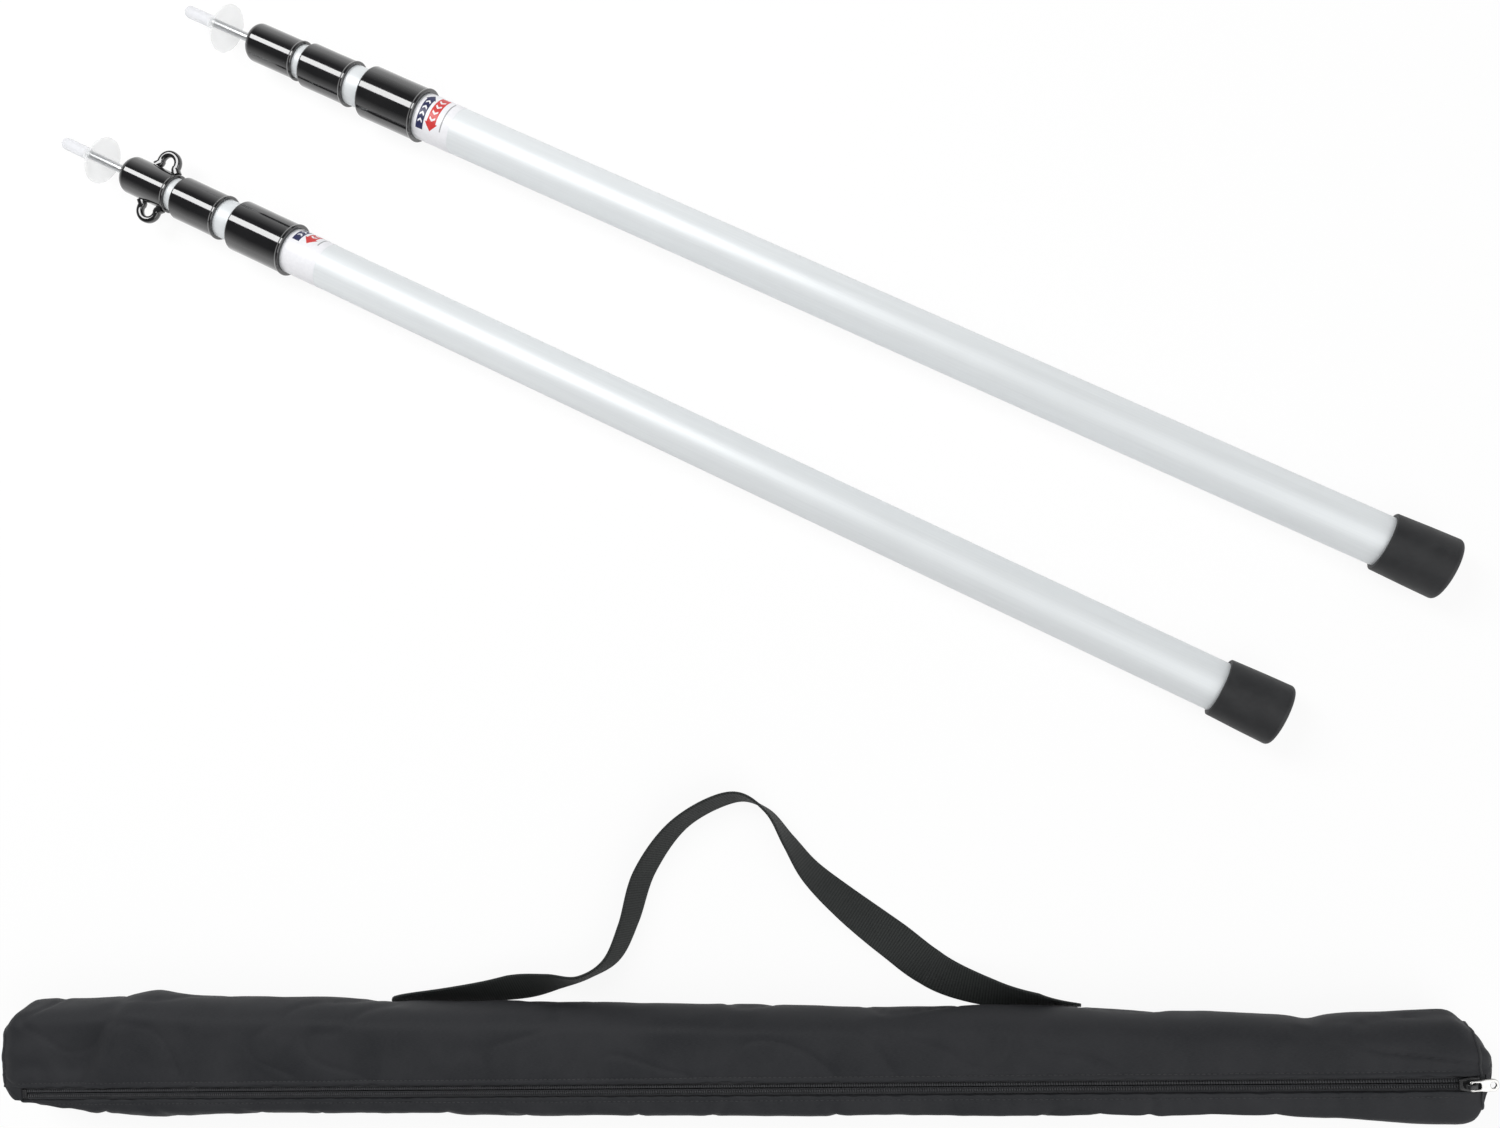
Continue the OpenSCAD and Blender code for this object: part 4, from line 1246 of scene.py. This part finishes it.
def flatPlate(name, loops, thick, ease, place, finish):
    # a flat curve with eased edges, made a mesh before it is placed
    curve = bpy.data.curves.new(name, "CURVE")
    curve.dimensions = "2D"
    curve.fill_mode = "BOTH"
    curve.extrude = (thick / 2 - ease) * mm
    curve.bevel_depth = ease * mm
    curve.bevel_resolution = 2
    curve.offset = -ease * mm
    for loop in loops:
        spline = curve.splines.new("POLY")
        spline.points.add(len(loop) - 1)
        spline.use_cyclic_u = True
        for point, (x, y) in zip(spline.points, loop):
            point.co = (x * mm, y * mm, 0, 1)
    mesh = finalMesh(bpy.data.objects.new(name, curve))
    mesh.transform(place)
    cleanMesh(mesh)
    mesh.materials.clear()
    return meshPiece(name, mesh, finish, sharp=50)


def blockAt(name, low, high, ease, place, finish):
    # a small eased block between two corners
    centre = (Vector(low) + Vector(high)) / 2
    size = Vector(high) - Vector(low)
    ways = ((-1, -1), (1, -1), (1, 1), (-1, 1))
    loop = rounded([(x * size.x / 2, y * size.y / 2, ease) for x, y in ways], closed=True, steps=3)
    return flatPlate(name, [loop], size.z, ease, place @ Matrix.Translation(centre * mm), finish)


def barSection(width, thick, steps=12):
    return [(squarer(math.cos(turn)) * width / 2, squarer(math.sin(turn)) * thick / 2)
            for turn in circle(steps)]


def makeTape(name, sign, node):
    zipper = zipSet
    middle = zipper["tapeLow"] + zipper["tapeThick"] / 2
    across = (zipper["tapeFrom"] + zipper["tapeTo"]) / 2
    section = barSection(zipper["tapeTo"] - zipper["tapeFrom"], zipper["tapeThick"])
    stations = np.linspace(zipper["left"], zipper["right"], zipper["stations"])
    rings = [putAt(zipPlace, [(x, sign * (across + w), middle + t) for w, t in section]) for x in stations]
    piece = loftRings(name, rings, finishes["tape"], capped=True,
                      uvs=lambda row, col: (stations[row] * mm, section[col % len(section)][0] * mm))
    dress(piece, "set", "zip_tape", node)


def makeTeeth(name, sign, node):
    zipper = zipSet
    height = zipper["tapeLow"] + zipper["tapeThick"] + zipper["toothHeight"] / 2 - zipper["toothSunk"]
    shift = 0 if sign > 0 else zipper["toothPitch"] / 2  # the front teeth sit between the rear ones
    start = zipper["left"] + zipper["stop"] + (zipper["firstGap"] + shift)
    stop = zipper["right"] - zipper["stop"] - zipper["lastGap"]
    run = putAt(zipPlace, [(x, sign * zipper["toothAside"], height) for x in (start, stop)])
    sizes = {
        "Spacing": zipper["toothPitch"] * mm, "Length": zipper["toothLength"] * mm,
        "Width": zipper["toothWidth"] * mm, "Height": zipper["toothHeight"] * mm,
        "Unevenness": zipper["toothUneven"],
    }
    dress(beadsAlong(name, [run], sizes, finishes["coil"]), "set", "zip_coil", node)


def makeStops():
    zipper = zipSet
    half, ease = zipper["stopHalf"], zipper["stopEase"]
    low = zipper["tapeLow"] + zipper["tapeThick"] - zipper["stopSunk"]
    high = low + zipper["stopHeight"]
    parts = []
    for x in (zipper["left"], zipper["right"] - zipper["stop"]):
        near, far = (x, -half, low), (x + zipper["stop"], half, high)
        parts.append(blockAt("zipStops", near, far, ease, zipPlace, finishes["darkNylon"]))
    dress(joinPieces("zipStops", parts), "set", "dark_nylon", "zip_stops")


sliderSet = {
    "place": 471.976, "plate": 1.4, "plateEase": 0.45, "upper": 46.65, "lower": 42.35, "halfWidth": 4.2,
    "lip": 0.6, "lipFrom": 45.05, "lipLength": 5, "lipSunk": 0.6, "lipEase": 0.2,
    "webLong": 2, "webThin": 0.2, "webSunk": 0.3, "webEase": 0.1,
    # the plan narrows towards the closed chain: along, across, rounding
    "plan": [(-6, -3.0, 1.0), (0.5, -4.2, 3.0), (5.2, -4.2, 1.0), (6, -1.8, 1.0),
             (6, 1.8, 1.0), (5.2, 4.2, 1.0), (0.5, 4.2, 3.0), (-6, 3.0, 1.0)],
    "archWidth": 3.0, "archThick": 0.9, "archTop": 52.65, "archFoot": 3.3, "archSteps": 20,
}


def makeSlider():
    slider = sliderSet
    finish = finishes["enamel"]
    upper, lower, plate = slider["upper"], slider["lower"], slider["plate"]
    place = zipPlace @ Matrix.Translation(Vector((slider["place"], 0, 0)) * mm)
    plan = rounded(slider["plan"], closed=True, steps=5)
    parts = []
    for low in (upper, lower):
        lift = Matrix.Translation(Vector((0, 0, low + plate / 2)) * mm)
        parts.append(flatPlate("zipSlider", [plan], plate, slider["plateEase"], place @ lift, finish))
    for sign in (-1, 1):
        sides = sorted((sign * (slider["halfWidth"] - slider["lip"]), sign * slider["halfWidth"]))
        near = (0, sides[0], slider["lipFrom"])
        far = (slider["lipLength"], sides[1], upper + slider["lipSunk"])
        parts.append(blockAt("lip", near, far, slider["lipEase"], place, finish))
    long, thin, sunk = slider["webLong"], slider["webThin"], slider["webSunk"]
    near, far = (-long, -thin, lower + sunk), (long, thin, upper + sunk)
    parts.append(blockAt("web", near, far, slider["webEase"], place, finish))
    arch, rings = [], []
    footAt = upper + plate / 2
    rise = slider["archTop"] - slider["archThick"] / 2 - footAt
    for step in range(slider["archSteps"] + 1):
        angle = math.pi * step / slider["archSteps"]
        along = -squarer(math.cos(angle)) * slider["archFoot"]
        arch.append(Vector((along, footAt + squarer(math.sin(angle)) * rise)))
    section = barSection(slider["archWidth"], slider["archThick"])
    for index, spot in enumerate(arch):
        way = (arch[min(index + 1, len(arch) - 1)] - arch[max(index - 1, 0)]).normalized()
        rings.append(putAt(place, [(spot.x - way.y * t, w, spot.y + way.x * t) for w, t in section]))
    parts.append(loftRings("arch", rings, finish, capped=True, sharp=50))
    dress(joinPieces("zipSlider", parts), "zip_runner", "zip_metal", "zip_slider")


pullSet = {
    "barHeight": 50.65, "barRadius": 0.9, "barHalf": 2.9, "barEase": 0.3,
    "droop": 11.9, "thick": 1.4, "ease": 0.4,
    "outline": [(-1.1, -3.0, 1.0), (5.0, -3.0, 3.0), (8.0, -3.5, 3.0), (16, -3.5, 3.2),
                (16, 3.5, 3.2), (8.0, 3.5, 3.0), (5.0, 3.0, 3.0), (-1.1, 3.0, 1.0)],
    "window": [(0.9, -1.85, 0.5), (0.9, 1.85, 0.5), (5.4, 1.85, 0.9), (5.4, -1.85, 0.9)],
    "hole": (12.5, 1.75), "holeSteps": 24,
}


def makePull():
    pull = pullSet
    hinge = Matrix.Translation(Vector((sliderSet["place"], 0, pull["barHeight"])) * mm)
    place = zipPlace @ hinge @ Matrix.Rotation(math.radians(pull["droop"]), 4, "Y")
    centre, radius = pull["hole"]
    loops = [
        rounded(pull["outline"], closed=True, steps=5),
        rounded(pull["window"], closed=True, steps=3),
        [(centre + radius * math.cos(turn), radius * math.sin(turn)) for turn in circle(pull["holeSteps"])],
    ]
    tab = flatPlate("zipPull", loops, pull["thick"], pull["ease"], place, finishes["nickel"])
    lying = place @ Matrix.Rotation(-math.pi / 2, 4, "X")
    thick, half, ease = pull["barRadius"], pull["barHalf"], pull["barEase"]
    ends = [(0, -half), (thick, -half, ease), (thick, half, ease), (0, half)]
    bar = lathe("bar", rounded(ends, steps=3), lying, finishes["nickel"], segments=24)
    dress(joinPieces("zipPull", [tab, bar]), "zip_tab", "zip_metal", "zip_pull")


for sign, side in ((1, "rear"), (-1, "front")):
    makeTape(side + "ZipTape", sign, "zip_" + side + "_tape")
    makeTeeth(side + "ZipTeeth", sign, "zip_" + side + "_teeth")
makeStops()
makeSlider()
makePull()
print("zip made")


# seams and stitches

sewing = {
    "zipAway": 7.3,  # the stitch line beside the zip
    "edge": 0.6, "everyRow": 2,
    "spacing": 3.2, "length": 2.5, "thread": 0.5, "uneven": 0.12,
    "pipingRow": 10, "piping": 0.9,  # the ring of an end that carries its piping
    "boxLength": 22, "boxIn": 3.0, "boxWidth": 8.5, "boxSteps": 8, "boxEndSteps": 6, "above": 0.05,
}
stitchSizes = {
    "Spacing": sewing["spacing"] * mm, "Length": sewing["length"] * mm,
    "Width": sewing["thread"] * mm, "Height": sewing["thread"] * mm, "Unevenness": sewing["uneven"],
}
endRows = (len(bag["ends"][0]) - 1) * bag["endSteps"]


def topPoint(row, y):
    # a point on the bag's top in one of its rings
    behind = bagGrid[row][:bag["counts"][0]]
    before = bagGrid[row][sum(bag["counts"][:4]):sum(bag["counts"]) + 1]
    run = behind if y > zipLine(bagGrid[row][0][0]) else before
    order = np.argsort(run[:, 1])
    return Vector((run[0][0], y, np.interp(y, run[order, 1], run[order, 2])))


def stitchZip():
    runs = []
    for away in (-sewing["zipAway"], sewing["zipAway"]):
        run = []
        for row in range(endRows, len(bagGrid) - endRows, sewing["everyRow"]):
            x = bagGrid[row][0][0]
            edge = bagGrid[row][sum(bag["counts"][:4])][1]  # where the top turns down to the front
            if zipLine(x) + away > edge + sewing["edge"]:
                run.append(bagPlace @ (topPoint(row, zipLine(x) + away) * mm))
        runs.append(run)
    dress(beadsAlong("zipStitches", runs, stitchSizes, finishes["thread"]), "set", "bag_cloth")


def tubeAlong(name, spots, radius, finish, steps=8):
    # a thin closed tube through the spots, which lie in one plane across the bag
    along = Vector((1, 0, 0))
    rings = []
    for index, spot in enumerate(spots):
        way = (spots[(index + 1) % len(spots)] - spots[index - 1]).normalized()
        out = way.cross(along)
        rings.append([spot + (out * math.cos(turn) + along * math.sin(turn)) * radius
                      for turn in circle(steps)])
    return loftRings(name, rings, finish, closedRows=True, sharp=80)


def pipeEnds():
    cloth = sum(bag["counts"]) + 1
    step = sewing["pipingRow"]
    for name, row in (("leftPiping", endRows - step), ("rightPiping", len(bagGrid) - 1 - endRows + step)):
        spots = putAt(bagPlace, bagGrid[row][:cloth])
        dress(tubeAlong(name, spots, sewing["piping"] * mm, finishes["tape"]), "set", "bag_cloth")


def strapBox(first, last, face):
    # a box with a cross, sewn on one face of a strap end
    centres, acrosses, ways, stations = strapLine
    half = sewing["boxWidth"]

    def spot(share, w):
        index = round(first + (last - first) * share)
        across, way = Vector(acrosses[index]).normalized(), Vector(ways[index]).normalized()
        lift = way.cross(across) * face * (strap["thick"] / 2 + sewing["above"]) * mm
        aside = across * strapTrim(w, stations[index], stations[-1]) * mm
        return bagPlace @ (Vector(centres[index]) + aside + lift)

    shares = np.linspace(0, 1, sewing["boxSteps"])
    widths = np.linspace(-half, half, sewing["boxEndSteps"])
    sides = [[spot(share, w) for share in shares] for w in (-half, half)]
    closings = [[spot(share, w) for w in widths] for share in (0, 1)]
    cross = [[spot(share, sign * half * (2 * share - 1)) for share in shares] for sign in (1, -1)]
    return sides + closings + cross


def stitchStrap():
    pitch = strap["ribPitch"] / strap["ribSteps"]
    inner, outer = round(sewing["boxIn"] / pitch), round((sewing["boxIn"] + sewing["boxLength"]) / pitch)
    final = len(strapLine[0]) - 1
    runs = []
    for first, last in ((inner, outer), (final - inner, final - outer)):
        for face in (-1, 1):
            runs += strapBox(first, last, face)
    dress(beadsAlong("strapStitches", runs, stitchSizes, finishes["thread"]), "set", "strap_webbing")


stitchZip()
pipeEnds()
stitchStrap()
print("seams sewn")


# stage and light

stageSet = {
    # in metres; from the front pole's foot: along the pole, to the back, up; size across and along; power
    "lamps": {"softStrip": (1.75, 0.40, 1.7, 0.75, 1.7, 34), "sideLight": (-2.0, -0.3, 2.1, 3.2, 3.2, 58)},
    "floor": 6.0, "floorColor": (0.93, 0.93, 0.93), "floorRough": 0.9, "floorShine": 0.1,
    "glow": 0.9, "glowFades": (1.5, 4.0),  # the floor's shadows end where it turns plain white
    "fill": 0.32,
    "ceiling": 0.10, "ceilingRise": (0.0, 0.6),  # white walls, dim ceiling
}


def litShare(tree):
    path = addNode(tree, "ShaderNodeLightPath")
    seen = combine(tree, "MAXIMUM", path.outputs["Is Camera Ray"], path.outputs["Is Glossy Ray"])
    return combine(tree, "MAXIMUM", seen, path.outputs["Is Transmission Ray"])


def blendShaders(tree, share, first, second, output):
    mix = addNode(tree, "ShaderNodeMixShader")
    for index, source in enumerate((share, first.outputs[0], second.outputs[0])):
        tree.links.new(source, mix.inputs[index])
    tree.links.new(mix.outputs[0], tree.nodes[output].inputs["Surface"])


def addLamp(name, alongPole, toBack, height, wide, long, power):
    place = polePlaces["front"]
    across, along, foot = place.col[1].xyz, place.col[2].xyz, place.col[3].xyz
    under = foot + along * max(alongPole, 0)
    spot = foot + along * alongPole + across * toBack + Vector((0, 0, height))
    lamp = bpy.data.lights.new(name, "AREA")
    lamp.shape = "RECTANGLE"
    lamp.size, lamp.size_y = wide, long
    lamp.energy = power
    away = (spot - under).normalized()
    sideways = along.cross(away).normalized()
    light = bpy.data.objects.new(name, lamp)
    light.matrix_world = Matrix.Translation(spot) @ placeOf(sideways, away.cross(sideways), away)
    bpy.context.scene.collection.objects.link(light)


def makeFloor():
    size = stageSet["floor"]
    mesh = bpy.data.meshes.new("studioFloor")
    corners = [(-size, -size, 0), (size, -size, 0), (size, size, 0), (-size, size, 0)]
    mesh.from_pydata(corners, [], [(0, 1, 2, 3)])
    floor = bpy.data.objects.new("studioFloor", mesh)
    bpy.context.scene.collection.objects.link(floor)
    finish, tree, shader = startFinish("paleFloor", stageSet["floorColor"], stageSet["floorRough"])
    shader.inputs["Specular IOR Level"].default_value = stageSet["floorShine"]
    away = addNode(tree, "ShaderNodeVectorMath", operation="LENGTH")
    tree.links.new(addNode(tree, "ShaderNodeTexCoord").outputs["Object"], away.inputs[0])
    share = between(tree, away.outputs["Value"], stageSet["glow"], 1.0, *stageSet["glowFades"])
    glow = addNode(tree, "ShaderNodeEmission")
    blendShaders(tree, combine(tree, "MULTIPLY", litShare(tree), share), shader, glow, "Material Output")
    mesh.materials.append(finish)


def makeWorld():
    world = bpy.data.worlds.new("studioWorld")
    world.use_nodes = True
    bpy.context.scene.world = world
    tree = world.node_tree
    fill = tree.nodes["Background"]
    fill.inputs["Strength"].default_value = stageSet["fill"]
    shown = addNode(tree, "ShaderNodeBackground")
    for background in (fill, shown):
        background.inputs["Color"].default_value = (1, 1, 1, 1)
    way = addNode(tree, "ShaderNodeSeparateXYZ")
    tree.links.new(addNode(tree, "ShaderNodeTexCoord").outputs["Generated"], way.inputs[0])
    ceiling = between(tree, way.outputs["Z"], 1.0, stageSet["ceiling"], *stageSet["ceilingRise"])
    seen = addNode(tree, "ShaderNodeLightPath").outputs["Is Camera Ray"]
    tree.links.new(combine(tree, "MAXIMUM", seen, ceiling), shown.inputs["Strength"])
    blendShaders(tree, litShare(tree), fill, shown, "World Output")


makeFloor()
makeWorld()
for name, settings in stageSet["lamps"].items():
    addLamp(name, *settings)
bpy.context.scene.view_settings.view_transform = "Standard"
print("stage lit")
